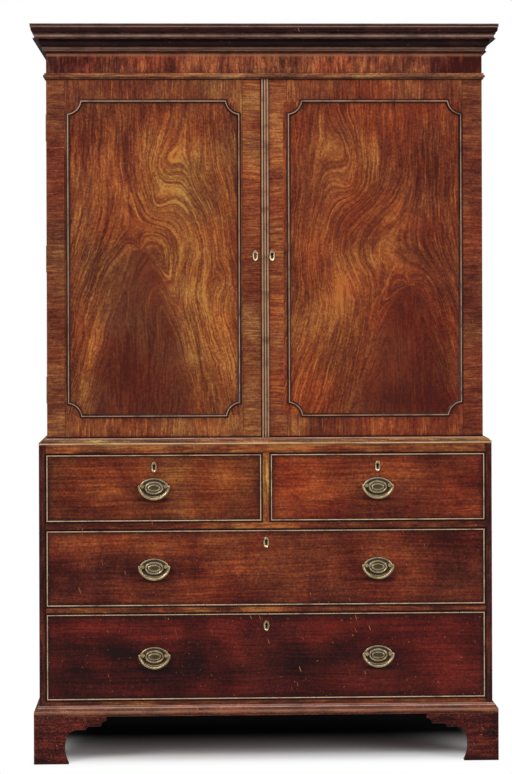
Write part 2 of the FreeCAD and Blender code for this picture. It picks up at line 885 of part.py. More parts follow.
def door_hinge_seats(stile):
    """Seats in the back of a hanging stile for the door leaves and barrels."""
    for level in hinge_levels():
        carve(stile, "plan", level, level + D.hinge_length,
              rectangle(-half_upper, -half_upper + D.leaf_width,
                        door_back - D.leaf_thick + D.hinge_gap / 2, door_back))
        carve(stile, "plan", level, level + D.hinge_length,
              {"u": -half_upper, "v": door_back + D.hinge_gap / 2,
               "radius": D.knuckle_radius + D.barrel_play})


def bolt_x():
    return left_meeting - D.bolt_inset


def bolt_y():
    return case_front + D.bolt_plate_thick + D.bolt_radius + D.hinge_gap


def bolts():
    """Two surface bolts on the back of the left door, drawn back. They shoot up and down."""
    x, y = bolt_x(), bolt_y()
    half_plate = D.bolt_plate_width / 2
    plates = []
    for name, way in (("Top", 1), ("Bottom", -1)):
        end = door_high - D.bolt_rest if way > 0 else door_low + D.bolt_rest
        low = end - D.bolt_length if way > 0 else end
        bar = rod(f"{name}Bolt", x, y, low, D.bolt_radius, D.bolt_length)
        middle = low + D.bolt_length / 2
        knob = rod(f"{name}Knob", x, y, middle, D.bolt_knob_radius, 2 * D.bolt_knob_radius, "y")
        node(f"left_door_{name.lower()}_bolt", fuse(f"{name}BoltFused", bar, knob))
        base = board(f"{name}Plate", x - half_plate, x + half_plate, door_back,
                     door_back + D.bolt_plate_thick, middle - D.bolt_plate_length / 2,
                     middle + D.bolt_plate_length / 2)
        keepers = []
        for k, offset in enumerate((-D.bolt_plate_length / 2, D.bolt_plate_length / 2 - D.bolt_keeper)):
            keepers.append(board(
                f"{name}Keeper{k}", x - half_plate, x + half_plate, door_back,
                y + D.bolt_radius + D.bolt_plate_thick, middle + offset,
                middle + offset + D.bolt_keeper))
        hole = rod(f"{name}Way", x, y, low - D.bolt_rest, D.bolt_radius + D.bolt_play,
                   D.bolt_length + 2 * D.bolt_rest)
        plates.append(cut(f"{name}Guide", fuse(f"{name}Guides", base, *keepers), hole))
    node("left_door_bolt_plates", *plates)


def doors():
    hinges()
    bolts()
    z = door_low + D.keyhole_height
    margin = D.mould_margin
    frame = door_frame("LeftDoor", left_meeting)
    door_hinge_seats(frame[0])
    node("left_door_frame", *frame)
    node("left_door_panel", door_panel("LeftPanel", left_meeting))
    node("left_door_moulding", door_moulding("LeftBead", -half_upper + margin, left_meeting - margin))
    node("left_door_escutcheon", escutcheon(
        "LeftEscutcheon", left_meeting - D.escutcheon_wide, upper_face, z))

    # The right door is drawn on the left, with its own meeting edge past the middle, and mirrored.
    edge = -right_meeting
    key_x = strip_half + D.key_inset
    lock_low, lock_high = z - D.lock_height, z + D.lock_height
    drawn = door_frame("RightDoor", edge)
    door_hinge_seats(drawn[0])
    tool = keyhole(-key_x, upper_face - D.door_thick, door_back + D.door_thick, z + D.key_drop / 2)
    seat = board("LockSeat", edge - D.door_lock_width, edge, door_back - D.lock_deep, door_back,
                 lock_low, lock_high)
    drawn[1] = cut("RightMeetingStile", drawn[1], tool, seat)
    node("right_door_frame", *(mirror(p.Name + "Mirrored", p) for p in drawn))
    node("right_door_panel", mirror("RightPanel", door_panel("RightPanelDrawn", edge)))
    node("right_door_moulding", door_moulding(
        "RightBead", strip_half + D.strip_margin, half_upper - margin))
    lock = board("DoorLock", right_meeting, right_meeting + D.door_lock_width,
                 door_back - D.lock_deep, door_back, lock_low, lock_high)
    node("right_door_lock", lock, escutcheon("RightEscutcheon", key_x, upper_face, z))
    reeds = []
    for i in range(REEDS):
        reed = new_body(f"Reed{i}")
        left = right_meeting + (strip_half - right_meeting) / REEDS * i
        right = right_meeting + (strip_half - right_meeting) / REEDS * (i + 1)
        prism(reed, "plan", door_low, door_high, [
            (left, upper_face - D.reed_rise),
            (right, upper_face - D.reed_rise, HALF_ROUND),
            (right, upper_face),
            (left, upper_face),
        ])
        reeds.append(reed)
    node("right_door_astragal", *reeds)


# ---------------------------------------------------------------- trays

def trays():
    """Sliding trays with scooped fronts, on runners fixed to the case sides."""
    outer = upper_inside - D.tray_play
    front = case_front + D.tray_setback
    rear = inner_back - D.tray_play
    wall = D.tray_wall
    runners = []
    for i in range(TRAYS):
        low = D.tray_low + D.tray_pitch * i
        high = low + D.tray_height
        name = f"Tray{i + 1}"
        face = new_body(name + "Front")
        scoop = D.tray_scoop
        lip = upper_inside - D.tray_shoulder
        prism(face, "front", front, front + wall, [
            (-outer, low), (outer, low), (outer, high), (lip, high),
            (lip - scoop, high - scoop, -QUARTER_ROUND), (scoop - lip, high - scoop),
            (-lip, high, -QUARTER_ROUND), (-outer, high)])
        pieces = [
            face,
            board(name + "Left", -outer, -outer + wall, front + wall, rear, low, high),
            board(name + "Right", outer - wall, outer, front + wall, rear, low, high),
            board(name + "Back", -outer + wall, outer - wall, rear - wall, rear, low, high),
            board(name + "Bottom", -outer + wall, outer - wall, front + wall, rear - wall,
                  low, low + D.tray_bottom),
        ]
        node(f"linen_tray_{i + 1}", *pieces)
        top = low - D.drawer_lift
        runner = board(f"TrayRunner{i}", -upper_inside, -upper_inside + D.tray_runner_width,
                       case_front + D.tray_setback, inner_back, top - D.tray_runner_height, top)
        runners += [runner, mirror(f"TrayRunnerRight{i}", runner)]
    node("tray_runners", *runners)


# ---------------------------------------------------------------- drawers

def tails(edge, way, low, high, count, long):
    """Dovetails side by side up an edge, seen from the side: narrow at the edge, wide at the end."""
    pitch = (high - low) / count
    wide, slope = pitch * TAIL_SHARE / 2, D.tail_slope
    loops = []
    for i in range(count):
        middle = low + pitch * (i + 0.5)
        loops.append([
            (edge, middle - wide + slope),
            (edge + way * long, middle - wide),
            (edge + way * long, middle + wide),
            (edge, middle + wide - slope),
        ])
    return loops


def drawer(name, middle, width, sill, opening, handles, count):
    """One drawer: front with cock beads, dovetailed sides, back, bottom and brasses."""
    play = D.drawer_play
    left, right = middle - width / 2 + play, middle + width / 2 - play
    low, high = sill + D.drawer_lift, sill + opening - 2 * play
    face = lower_face
    inner = face + D.front_thick
    rear = face + D.drawer_depth
    wall, bead = D.wall_thick, D.bead_thick
    base = low + D.bottom_rise
    reach = D.bottom_tongue
    tail_long = D.front_thick - D.bead_deep - D.tail_lap
    side_tails = tails(inner, -1, low, high, count, tail_long)

    front = new_body(name + "Front")
    prism(front, "front", face, inner, rectangle(left, right, low, high))
    ring = (rectangle(left, right, low, high),
            rectangle(left + bead, right - bead, low + bead, high - bead))
    carve(front, "front", face, face + D.bead_deep, *ring)
    carve(front, "side", left, left + wall, *side_tails)
    carve(front, "side", right - wall, right, *side_tails)
    carve(front, "front", inner - reach, inner,
          rectangle(left + wall - reach, right - wall + reach, base, base + D.drawer_bottom_thick))
    centre = low + (high - low) / 2
    key_z = high - D.key_from_top
    carve(front, "front", inner - D.lock_deep, inner,
          rectangle(middle - D.lock_width / 2, middle + D.lock_width / 2, high - D.lock_height, high))
    key = keyhole(middle, face - OVERCUT, inner - D.lock_deep + OVERCUT, key_z)
    posts = []
    for n, x in enumerate(handles):
        for way in (-1, 1):
            posts.append((f"{name}H{n}P{(way + 1) // 2}", x + way * D.post_spacing / 2,
                          centre + D.post_rise))
    drills = [rod(p + "Drill", x, face - D.front_thick, z, D.post_bolt, 3 * D.front_thick, "y")
              for p, x, z in posts]
    bored = cut(name + "Bored", front, key, *drills)

    beads = new_body(name + "Bead")
    prism(beads, "front", face - D.bead_stand, face + D.bead_deep, *ring)
    soften(beads, face - D.bead_stand, "Fillet", Radius=D.bead_round)
    node(f"{name}_front", bored, beads)

    side = new_body(name + "Side")
    prism(side, "side", left, left + wall, rectangle(inner, rear, low, high))
    prism(side, "side", left, left + wall, *side_tails)
    carve(side, "side", left + wall - reach, left + wall,
          rectangle(inner - tail_long, rear, base, base + D.drawer_bottom_thick))
    back_low = base + D.drawer_bottom_thick
    back_tails = tails(rear, -1, back_low, high, count - 1, wall)
    back_pins = pin_gaps(rear, wall, back_low, high, back_tails)
    carve(side, "side", left, left + wall, *back_pins)
    other = doc.addObject("Part::Mirroring", name + "SideRight")
    other.Source = side
    other.Normal = FreeCAD.Vector(1, 0, 0)
    bind(other, Base__x=middle)
    rear_board = new_body(name + "Back")
    prism(rear_board, "side", left + wall, right - wall, rectangle(rear - wall, rear, back_low, high))
    prism(rear_board, "side", left, left + wall, *back_pins)
    prism(rear_board, "side", right - wall, right, *back_pins)
    bottom = board(name + "Bottom", left + wall - reach, right - wall + reach, inner - reach, rear,
                   base, base + D.drawer_bottom_thick)
    node(f"{name}_box", side, other, rear_board, bottom)

    brasses = [board(name + "Lock", middle - D.lock_width / 2, middle + D.lock_width / 2,
                     inner - D.lock_deep, inner, high - D.lock_height, high)]
    brasses.append(escutcheon(name + "Escutcheon", middle, face, key_z - D.key_drop / 2))
    for n, x in enumerate(handles):
        own = [p for p in posts if p[0].startswith(f"{name}H{n}")]
        brasses += [handle_plate(f"{name}Plate{n}", x, face, centre, own)]
        brasses += [post(p, x_post, face, inner, z) for p, x_post, z in own]
        bail(f"{name}_bail" + ("" if len(handles) == 1 else ("_left", "_right")[n]), x, face,
             centre + D.post_rise)
    node(f"{name}_brasses", *brasses)


def pin_gaps(rear, wall, low, high, back_tails):
    """The spaces between the tails of a drawer side at its back, which the back's pins fill."""
    ends = [(low, low)]
    for loop in back_tails:
        ends[-1] = (*ends[-1], loop[0][1], loop[1][1])
        ends.append((loop[3][1], loop[2][1]))
    ends[-1] = (*ends[-1], high, high)
    return [
        [(rear, z0), (rear - wall, z1), (rear - wall, z3), (rear, z2)]
        for z0, z1, z2, z3 in ends
    ]


def handle_plate(name, x, face, z, posts):
    """An oval back plate, raised in two oval steps and drilled for the posts."""
    lift = D.plate_thick + D.raise_step
    base = oval(name + "Base", x, face, z, D.plate_wide, D.plate_tall, D.plate_thick)
    ring = oval(name + "Ring", x, face - D.plate_thick, z, D.ring_wide, D.ring_tall, D.raise_step)
    boss = oval(name + "Boss", x, face - lift, z, D.boss_wide, D.boss_tall, D.raise_step)
    drills = [rod(p + "PlateDrill", x_post, face - 2 * lift, z_post, D.post_bolt, 2 * lift, "y")
              for p, x_post, z_post in posts]
    return cut(name, fuse(name + "Stack", base, ring, boss), *drills)


def post(name, x, face, inner, z):
    """A post: a bolt through the front with a nut inside and a bored head outside for the bail."""
    stand = D.post_stand
    head = rod(name + "Head", x, face - D.plate_thick - stand, z, D.post_radius, stand, "y")
    bolt = rod(name + "Bolt", x, face - D.plate_thick - stand / 2, z, D.post_bolt,
               D.front_thick + D.plate_thick + stand / 2 + D.nut_thick + D.bolt_end, "y")
    nut = rod(name + "Nut", x, inner, z, D.post_nut, D.nut_thick, "y")
    bore = rod(name + "Bore", x - D.post_radius * 2, face - D.bail_out, z, D.bail_pin + D.bail_play,
               D.post_radius * 4, "x")
    return cut(name, fuse(name + "Whole", head, bolt, nut), bore)


def bail(label, x, face, z):
    """A bail: pins in the posts, a round knuckle outside each, and a bow of round bar between."""
    y = face - D.bail_out
    thin = D.bail_pin
    half = D.post_spacing / 2 + D.bail_arm - thin
    pin_in = D.post_spacing / 2 - D.pin_reach
    pins = [rod(label + "PinRight", x + pin_in, y, z, thin, half - pin_in, "x"),
            rod(label + "PinLeft", x - half, y, z, thin, half - pin_in, "x")]
    bow = place(bail_bow(label + "Bow", half), x, y, z)
    knuckles = [doc.addObject("Part::Sphere", label + f"Knuckle{i}") for i in range(2)]
    for knuckle, way in zip(knuckles, (-1, 1)):
        bind(knuckle, Radius=D.bail_bar)
        place(knuckle, x + way * half, y, z)
    node(label, fuse(label + "Fused", bow, *pins, *knuckles))


def bail_bow(name, half):
    """The bow of a bail hung from (-half, 0) and (half, 0): a wide arc with a tighter one each side."""
    drop, bend = D.bail_drop, D.bail_bend
    flat = half - bend
    wide = (flat * flat + drop * drop - bend * bend) / ((drop - bend) * 2)
    turn = ((wide - drop) / flat).arctangent()
    bow = new_body(name)
    bent_bar(bow, "side", 0, -drop, D.bail_bar, wide - drop, 180 - turn * 2, Midplane=True)
    bent_bar(bow, "plan", half, 0, D.bail_bar, flat, turn)
    bent_bar(bow, "plan", -half, 0, D.bail_bar, -flat, turn, Reversed=True)
    return bow


def bent_bar(body, view, u, v, radius, pivot, angle, **ways):
    """Adds a length of bent round bar: a circle turned about a line that runs front to back."""
    made = sketch(body, PLANES[view], 0)
    draw_circle(made, u, v, radius)
    pivot, angle = as_size(pivot), as_size(angle)
    level = view == "side"
    start = FreeCAD.Vector(0, pivot.value, 0) if level else FreeCAD.Vector(pivot.value, 0, 0)
    end = start + (FreeCAD.Vector(1, 0, 0) if level else FreeCAD.Vector(0, 1, 0))
    line = made.addGeometry(Part.LineSegment(start, end), True)
    made.addConstraint(Sketcher.Constraint("Horizontal" if level else "Vertical", line))
    along, off = ("DistanceX", "DistanceY") if level else ("DistanceY", "DistanceX")
    made.addConstraint(Sketcher.Constraint(along, -1, 1, line, 1, 0))
    made.addConstraint(Sketcher.Constraint(along, line, 1, line, 2, 1))
    fixed = made.addConstraint(Sketcher.Constraint(off, -1, 1, line, 1, pivot.value))
    made.setExpression(f"Constraints[{fixed}]", pivot.formula)
    turned = body.newObject("PartDesign::Revolution", body.Name + "Turn")
    turned.Profile = made
    turned.ReferenceAxis = (made, ["Axis0"])
    for key, value in ways.items():
        setattr(turned, key, value)
    bind(turned, Angle=angle)
    made.Visibility = False


def drawers():
    half = lower_inside - D.muntin_width / 2
    short = half
    mid = D.muntin_width / 2 + short / 2
    wide = lower_inside * 2
    drawer("top_left_drawer", -mid, short, top_sill, D.top_opening, [-mid], 4)
    drawer("top_right_drawer", mid, short, top_sill, D.top_opening, [mid], 4)
    spread = [-mid, mid]
    drawer("middle_drawer", as_size(0), wide, middle_sill, D.middle_opening, spread, 5)
    drawer("bottom_drawer", as_size(0), wide, low_sill, D.low_opening, spread, 5)


# ---------------------------------------------------------------- build, check, write

def check_objects():
    """Every object has to be up to date, and every sub-part whole and valid."""
    doc.recompute()
    for item in doc.Objects:
        if "Invalid" in item.State or "Error" in item.State:
            raise RuntimeError(f"{item.Label}: {item.State}")
    for pocket in cuts:
        if pocket.Shape.Volume >= pocket.BaseFeature.Shape.Volume:
            raise RuntimeError(f"{pocket.Label} cuts nothing")
    for label, kept in nodes.items():
        if kept.Shape.isNull() or not kept.Shape.isValid() or not kept.Shape.Solids:
            raise RuntimeError(f"{label} is not a valid solid")


def write_parts():
    os.makedirs("parts", exist_ok=True)
    for label, kept in nodes.items():
        kept.Shape.exportStep(f"parts/{label}.step")
        print(f"{label}: {len(kept.Shape.Solids)} solids")


carcases()
rails_and_runners()
mouldings()
feet()
doors()
trays()
drawers()
check_objects()
write_parts()
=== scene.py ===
"""Finishes, fittings and studio of a two-part mahogany linen press.

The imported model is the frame: its pieces keep their shape and place, and get their timber, brass
and wear here. Lengths are in metres, colours are written as 0 to 255 screen values.
"""
from __future__ import annotations

import logging
import math
from dataclasses import dataclass
from enum import Enum
from functools import wraps
from typing import Callable, Sequence

import bmesh
import bpy
from mathutils import Euler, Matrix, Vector

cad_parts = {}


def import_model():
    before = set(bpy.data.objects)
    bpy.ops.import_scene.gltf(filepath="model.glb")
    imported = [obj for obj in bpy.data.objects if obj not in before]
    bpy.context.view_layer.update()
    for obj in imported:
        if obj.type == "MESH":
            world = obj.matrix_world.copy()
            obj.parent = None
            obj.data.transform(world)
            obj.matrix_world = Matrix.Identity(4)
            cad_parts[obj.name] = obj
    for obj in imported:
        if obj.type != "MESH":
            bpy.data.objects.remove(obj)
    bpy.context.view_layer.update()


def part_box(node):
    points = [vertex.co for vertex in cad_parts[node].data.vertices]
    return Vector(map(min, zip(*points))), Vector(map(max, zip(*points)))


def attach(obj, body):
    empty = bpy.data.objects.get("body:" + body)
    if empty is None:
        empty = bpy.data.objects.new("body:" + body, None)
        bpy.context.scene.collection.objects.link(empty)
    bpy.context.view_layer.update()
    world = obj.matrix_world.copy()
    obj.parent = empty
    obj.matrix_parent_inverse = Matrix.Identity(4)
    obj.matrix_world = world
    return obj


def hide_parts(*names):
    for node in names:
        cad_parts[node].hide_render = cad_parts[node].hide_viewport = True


log = logging.getLogger("linen_press")

Tone = tuple[float, float, float]
Socket = bpy.types.NodeSocket
Value = "Socket | float | tuple"
Sockets = bpy.types.bpy_prop_collection
Fill = "Callable[[Wiring, Sockets], Sequence[Socket]]"

MM = 1000.0  # millimetres in a metre
DEEPEST = 8.0  # millimetres in front of a face that a brass's depths reach
KEYHOLE_SHADE_DEPTHS = ((0.0, 0.15), (0.2, 1.0), (1.3, 1.0), (1.6, 0.0))  # brass near the face painted dark, as painted shade of the keyholes
# the stamped plates are painted darker by depth: tarnish and painted shade in their hollows
PLATE_TARNISH_AND_SHADE_DEPTHS = ((0.0, 1.0), (2.55, 1.0), (2.9, 0.1), (3.25, 0.0), (3.5, 0.97), (4.1, 0.85),
                (4.5, 0.05))
DRAWER_FACE = -0.26775  # the plane that the drawers' brasses lie on
DOOR_FACE = -0.25025  # the plane that the doors' brasses lie on
HANDLE = 0.311  # from the press's middle to a handle's
TINY = 1e-6  # keeps a divisor from zero
CORNER = 0.8  # how far the grain lines move on for each metre of depth, so that ends have lines
GAP_SHADE_EDGES = (0.0068, 0.0032)  # beyond a front, where the painted shade line of its gap begins and is full
GAP_SHADE_SHARE = 0.92  # how dark that painted shade line is

# Screen tones
PORE = (40, 16, 12)
DENT = (26, 10, 10)
# dirt, and painted shade, in corners and against mouldings
GRIME_AND_SHADE = (18, 8, 8)
# painted shade in the gaps round the drawer fronts
GAP_SHADE = (16, 6, 7)
JOINT = (30, 14, 12)
# painted shade and old polish along the inside of a drawer's bead
POLISH_AND_SHADE = (22, 9, 10)
SHADOW = (20, 7, 8)
SPECK = (96, 78, 46)
# rubbed brass edges, with a painted highlight
RUBBED_AND_HIGHLIT_BRASS = (252, 232, 198)
# tarnish, dirt and painted shade in brass hollows and keyholes
TARNISH_AND_SHADE = (24, 15, 7)

# Linear tints that a timber is multiplied by
COOL = (0.94, 1.13, 1.15, 1.0)
WARM = (1.06, 0.86, 0.82, 1.0)


def screen(tone: Tone) -> tuple[float, float, float, float]:
    """Turn a screen colour into a linear one.

    Args:
        tone: Red, green and blue from 0 to 255.

    Returns:
        Linear red, green, blue and an alpha of one.
    """
    part = [c / 255.0 for c in tone]
    line = [c / 12.92 if c <= 0.04045 else ((c + 0.055) / 1.055) ** 2.4 for c in part]
    return (line[0], line[1], line[2], 1.0)


class Wiring:
    """Places shader nodes in one tree and joins them."""

    def __init__(self, tree: bpy.types.NodeTree) -> None:
        """Take over a tree and empty it.

        Args:
            tree: The tree of a material, a world or a node group.
        """
        self.tree = tree
        tree.nodes.clear()

    def node(self, kind: str, **settings: object) -> bpy.types.Node:
        """Place a node.

        Args:
            kind: The node's type name.
            **settings: Properties of the node.

        Returns:
            The new node.
        """
        made = self.tree.nodes.new(kind)
        for key, value in settings.items():
            setattr(made, key, value)
        return made

    def feed(self, socket: Socket, value: Value) -> None:
        """Join a socket to an output, or write a plain value on it.

        Args:
            socket: The input to feed.
            value: An output socket, a number or a tuple.
        """
        if isinstance(value, bpy.types.NodeSocket):
            self.tree.links.new(value, socket)
        else:
            socket.default_value = value

    def give(self, made: bpy.types.Node, **values: Value) -> bpy.types.Node:
        """Feed a node's inputs by name.

        Args:
            made: The node.
            **values: Its inputs by name, with _ for a space.

        Returns:
            The node.
        """
        for key, value in values.items():
            self.feed(made.inputs[key.replace("_", " ")], value)
        return made

    def join(self, made: bpy.types.Node, *values: Value) -> Socket:
        """Feed a node's first inputs in order.

        Args:
            made: The node.
            *values: What the inputs take, in order.

        Returns:
            The node's first output.
        """
        for socket, value in zip(made.inputs, values):
            self.feed(socket, value)
        return made.outputs[0]

    def math(self, operation: str, *values: Value) -> Socket:
        """Place a math node and return its result."""
        return self.join(self.node("ShaderNodeMath", operation=operation), *values)

    def chain(self, operation: str, values: Sequence[Value]) -> Socket:
        """Join values one after another by the same operation.

        Args:
            operation: The math nodes' operation.
            values: Two or more sockets or numbers.

        Returns:
            The result.
        """
        result = values[0]
        for value in values[1:]:
            result = self.math(operation, result, value)
        return result

    def total(self, *values: Value) -> Socket:
        """Add values."""
        return self.chain("ADD", values)

    def times(self, *values: Value) -> Socket:
        """Multiply values."""
        return self.chain("MULTIPLY", values)

    def less(self, *values: Value) -> Socket:
        """Take the other values from the first."""
        return self.chain("SUBTRACT", values)

    def most(self, *values: Value) -> Socket:
        """Return the greatest of values."""
        return self.chain("MAXIMUM", values)

    def least(self, *values: Value) -> Socket:
        """Return the smallest of values."""
        return self.chain("MINIMUM", values)

    def size(self, value: Value) -> Socket:
        """Return a value without its sign."""
        return self.math("ABSOLUTE", value)

    def place(self, x: Value, y: Value, z: Value) -> Socket:
        """Join three numbers into a vector."""
        return self.join(self.node("ShaderNodeCombineXYZ"), x, y, z)

    def split(self, vector: Socket) -> tuple[Socket, Socket, Socket]:
        """Split a vector into its three numbers.

        Args:
            vector: The vector.

        Returns:
            The three numbers.
        """
        made = self.node("ShaderNodeSeparateXYZ")
        self.feed(made.inputs[0], vector)
        return made.outputs[0], made.outputs[1], made.outputs[2]

    def point(self) -> Socket:
        """Return the point on the piece, which is the frame's at rest."""
        return self.node("ShaderNodeTexCoord").outputs["Object"]

    def here(self) -> tuple[Socket, Socket, Socket]:
        """Return the point's own x, y and z."""
        return self.split(self.point())

    def facing(self) -> tuple[Socket, Socket, Socket]:
        """Return the three parts of the way the surface faces, in the piece's own axes."""
        return self.split(self.node("ShaderNodeTexCoord").outputs["Normal"])

    def behind(self) -> Socket:
        """Return a mask that is 1 on the surfaces that face backwards."""
        return self.math("GREATER_THAN", self.facing()[1], 0.5)

    def choose(self, mask: Socket, off: Value, on: Value) -> Socket:
        """Choose between two numbers by a mask.

        Args:
            mask: From 0 to 1.
            off: The number where the mask is 0.
            on: The number where it is 1.

        Returns:
            The number.
        """
        made = self.node("ShaderNodeMix", data_type="FLOAT")
        for at, value in ((0, mask), (2, off), (3, on)):
            self.feed(made.inputs[at], value)
        return made.outputs[0]

    def noise(self, vector: Value, scale: float, detail: float = 2.0, rough: float = 0.5) -> Socket:
        """Place a noise texture.

        Args:
            vector: Where it is read.
            scale: Its scale.
            detail: Its octaves.
            rough: How much of each finer octave comes in.

        Returns:
            The noise, from 0 to 1.
        """
        return self.give(self.node("ShaderNodeTexNoise"), Vector=vector, Scale=scale,
                         Detail=detail, Roughness=rough).outputs[0]

    def stretch(self, value: Value, low: Value, high: Value, to_low: float = 0.0,
                to_high: float = 1.0) -> Socket:
        """Spread a range of values onto another, and stop at its ends.

        Args:
            value: What is spread.
            low: What becomes to_low.
            high: What becomes to_high.
            to_low: The first end.
            to_high: The other end.

        Returns:
            The spread value.
        """
        made = self.node("ShaderNodeMapRange", interpolation_type="SMOOTHSTEP")
        return self.join(made, value, low, high, to_low, to_high)

    def ramp(self, share: Socket, stops: Sequence[tuple[float, Sequence[float]]]) -> Socket:
        """Colour a share by stops.

        Args:
            share: From 0 to 1.
            stops: Places and linear colours.

        Returns:
            The colour.
        """
        made = self.node("ShaderNodeValToRGB")
        steps = made.color_ramp.elements
        while len(steps) < len(stops):
            steps.new(0.5)
        for step, (at, colour) in zip(steps, stops):
            step.position = at
            step.color = colour
        return self.join(made, share)

    def mix(self, share: Value, under: Value, over: Value, how: str = "MIX") -> Socket:
        """Lay one colour over another.

        Args:
            share: How much of it.
            under: The colour below, a socket or a linear colour.
            over: The colour above.
            how: The node's blend type.

        Returns:
            The colour.
        """
        made = self.node("ShaderNodeMix", data_type="RGBA", blend_type=how)
        for at, value in ((0, share), (6, under), (7, over)):
            self.feed(made.inputs[at], value)
        return made.outputs[2]

    def paint(self, share: Value, under: Value, tone: Tone) -> Socket:
        """Lay a screen colour over a colour."""
        return self.mix(share, under, screen(tone))

    def effect(self, tree: bpy.types.NodeTree, **values: Value) -> Sockets:
        """Place a node group.

        Args:
            tree: The group.
            **values: Its inputs by name, with _ for a space.

        Returns:
            The group's outputs.
        """
        return self.give(self.node("ShaderNodeGroup", node_tree=tree), **values).outputs

    def relief(self, height: Socket, normal: Socket, strength: float, depth: float) -> Socket:
        """Bump a surface.

        Args:
            height: The height, from 0 to 1.
            normal: The way that the surface faces before.
            strength: How strongly the bump shows.
            depth: What a height of 1 stands for.

        Returns:
            The way that the surface faces.
        """
        return self.give(self.node("ShaderNodeBump"), Strength=strength, Distance=depth,
                         Height=height, Normal=normal).outputs[0]

    def close(self, surface: bpy.types.Node, kind: str = "ShaderNodeOutputMaterial") -> None:
        """Join a shader to the tree's end."""
        self.feed(self.node(kind).inputs["Surface"], surface.outputs[0])


def shared(name: str, takes: dict[str, float],
           gives: Sequence[str]) -> Callable[[Fill], Callable[[], bpy.types.NodeTree]]:
    """Turn a function that wires an effect into one that returns the effect's node group.

    Args:
        name: The group's name.
        takes: Its inputs and their values.
        gives: Its outputs; one called Normal is a vector.

    Returns:
        What turns the function. It takes the wiring and the group's inputs, and returns what
        feeds each output.
    """

    def turn(fill: Fill) -> Callable[[], bpy.types.NodeTree]:
        """Turn one function.

        Args:
            fill: The function that wires the effect.

        Returns:
            What returns the effect's node group.
        """

        @wraps(fill)
        def build() -> bpy.types.NodeTree:
            """Return the group, built once.

            Returns:
                The group.
            """
            if name in bpy.data.node_groups:
                return bpy.data.node_groups[name]
            tree = bpy.data.node_groups.new(name, "ShaderNodeTree")
            face = tree.interface
            for key, value in takes.items():
                face.new_socket(name=key, in_out="INPUT",
                                socket_type="NodeSocketFloat").default_value = value
            for key in gives:
                face.new_socket(name=key, in_out="OUTPUT", socket_type="NodeSocketVector"
                                if key == "Normal" else "NodeSocketFloat")
            w = Wiring(tree)
            results = fill(w, w.node("NodeGroupInput").outputs)
            leave = w.node("NodeGroupOutput")
            for key, result in zip(gives, results):
                w.feed(leave.inputs[key], result)
            return tree

        return build

    return turn


# ---------------------------------------------------------------- effects


@shared("timber grain", {"Across": 0.0, "Along": 0.0, "Length": 5.0, "Streaks": 180.0, "Seed": 0.0},
        ("Figure", "Streaks", "Gleams", "Pores"))
def grain_effect(w: Wiring, get: Sockets) -> Sequence[Socket]:
    """Wire timber lines: broad figure, streaks, sparse bright streaks and pores.

    Args:
        w: The wiring.
        get: The group's inputs.

    Returns:
        The masks of the four kinds of line.
    """

    def lines(across: float, along: float, seed: float, detail: float, low: float,
              high: float) -> Socket:
        """Return noise drawn out along the grain.

        Args:
            across: How fast the noise changes across the grain.
            along: How fast it changes along the grain.
            seed: What sets it apart from the others.
            detail: Its octaves.
            low: The noise that becomes 0.
            high: The noise that becomes 1.

        Returns:
            The noise, from 0 to 1.
        """
        at = w.place(w.times(get["Across"], get["Streaks"], across),
                     w.times(get["Along"], get["Length"], along), w.total(get["Seed"], seed))
        return w.stretch(w.noise(at, 1.0, detail, 0.68), low, high)

    return (lines(0.26, 1.0, 0.0, 4.0, 0.32, 0.68), lines(1.1, 2.6, 7.3, 3.0, 0.34, 0.66),
            lines(1.0, 2.0, 13.1, 2.0, 0.56, 0.74), lines(3.2, 14.0, 19.7, 1.0, 0.6, 0.74))


@shared("clouds and mottle", {"Seed": 0.0}, ("Clouds", "Mottle", "Redness"))
def cloud_effect(w: Wiring, get: Sockets) -> Sequence[Socket]:
    """Wire unevenness across the grain: patina, fine mottle and redder places.

    Args:
        w: The wiring.
        get: The group's inputs.

    Returns:
        The masks of the three kinds of unevenness.
    """
    at = w.join(w.node("ShaderNodeVectorMath", operation="ADD"), w.point(),
                w.place(get["Seed"], 0.0, 0.0))
    return (w.stretch(w.noise(at, 7.0, 4.0, 0.6), 0.3, 0.7),
            w.stretch(w.noise(at, 170.0, 3.0, 0.85), 0.3, 0.7),
            w.stretch(w.noise(at, 4.5, 3.0, 0.65), 0.34, 0.66))


@shared("grain of a fork", {"Side": 0.0, "Rise": 0.0, "Fork side": 0.0, "Fork rise": 0.0,
                            "Half width": 0.15, "Soft": 0.05, "Spread": 0.0},
        ("Across", "Inside"))
def fork_effect(w: Wiring, get: Sockets) -> Sequence[Socket]:
    """Wire grain that parts on its way down, as in the fork of a tree.

    Args:
        w: The wiring.
        get: The group's inputs.

    Returns:
        The distance across the lines, and a mask that is 1 in the heart.
    """
    side = w.less(get["Side"], get["Fork side"])
    rise = w.less(get["Rise"], get["Fork rise"])
    turn = w.math("DIVIDE", w.math("ARCTAN2", side, rise), math.pi)
    below = w.most(w.times(rise, -1.0), 0.0)
    width = w.times(get["Half width"], w.total(1.0, w.times(below, get["Spread"])))
    lines = w.less(side, w.times(turn, width))
    inside = w.stretch(w.times(lines, w.math("SIGN", side), -1.0), 0.0, get["Soft"])
    return w.choose(inside, lines, side), inside


@shared("soft spot", {"Side": 0.0, "Rise": 0.0, "Spot side": 0.0, "Spot rise": 0.0, "Wide": 0.1,
                      "Tall": 0.1, "Lean": 0.0}, ("Mask",))
def spot_effect(w: Wiring, get: Sockets) -> Sequence[Socket]:
    """Wire a soft oval spot.

    Args:
        w: The wiring.
        get: The group's inputs.

    Returns:
        The spot's mask.
    """
    rise = w.less(get["Rise"], get["Spot rise"])
    turned = w.less(get["Side"], get["Spot side"], w.times(rise, get["Lean"]))
    wide = w.math("DIVIDE", turned, get["Wide"])
    tall = w.math("DIVIDE", rise, get["Tall"])
    reach = w.total(w.times(wide, wide), w.times(tall, tall))
    return (w.math("EXPONENT", w.times(reach, -1.0)),)


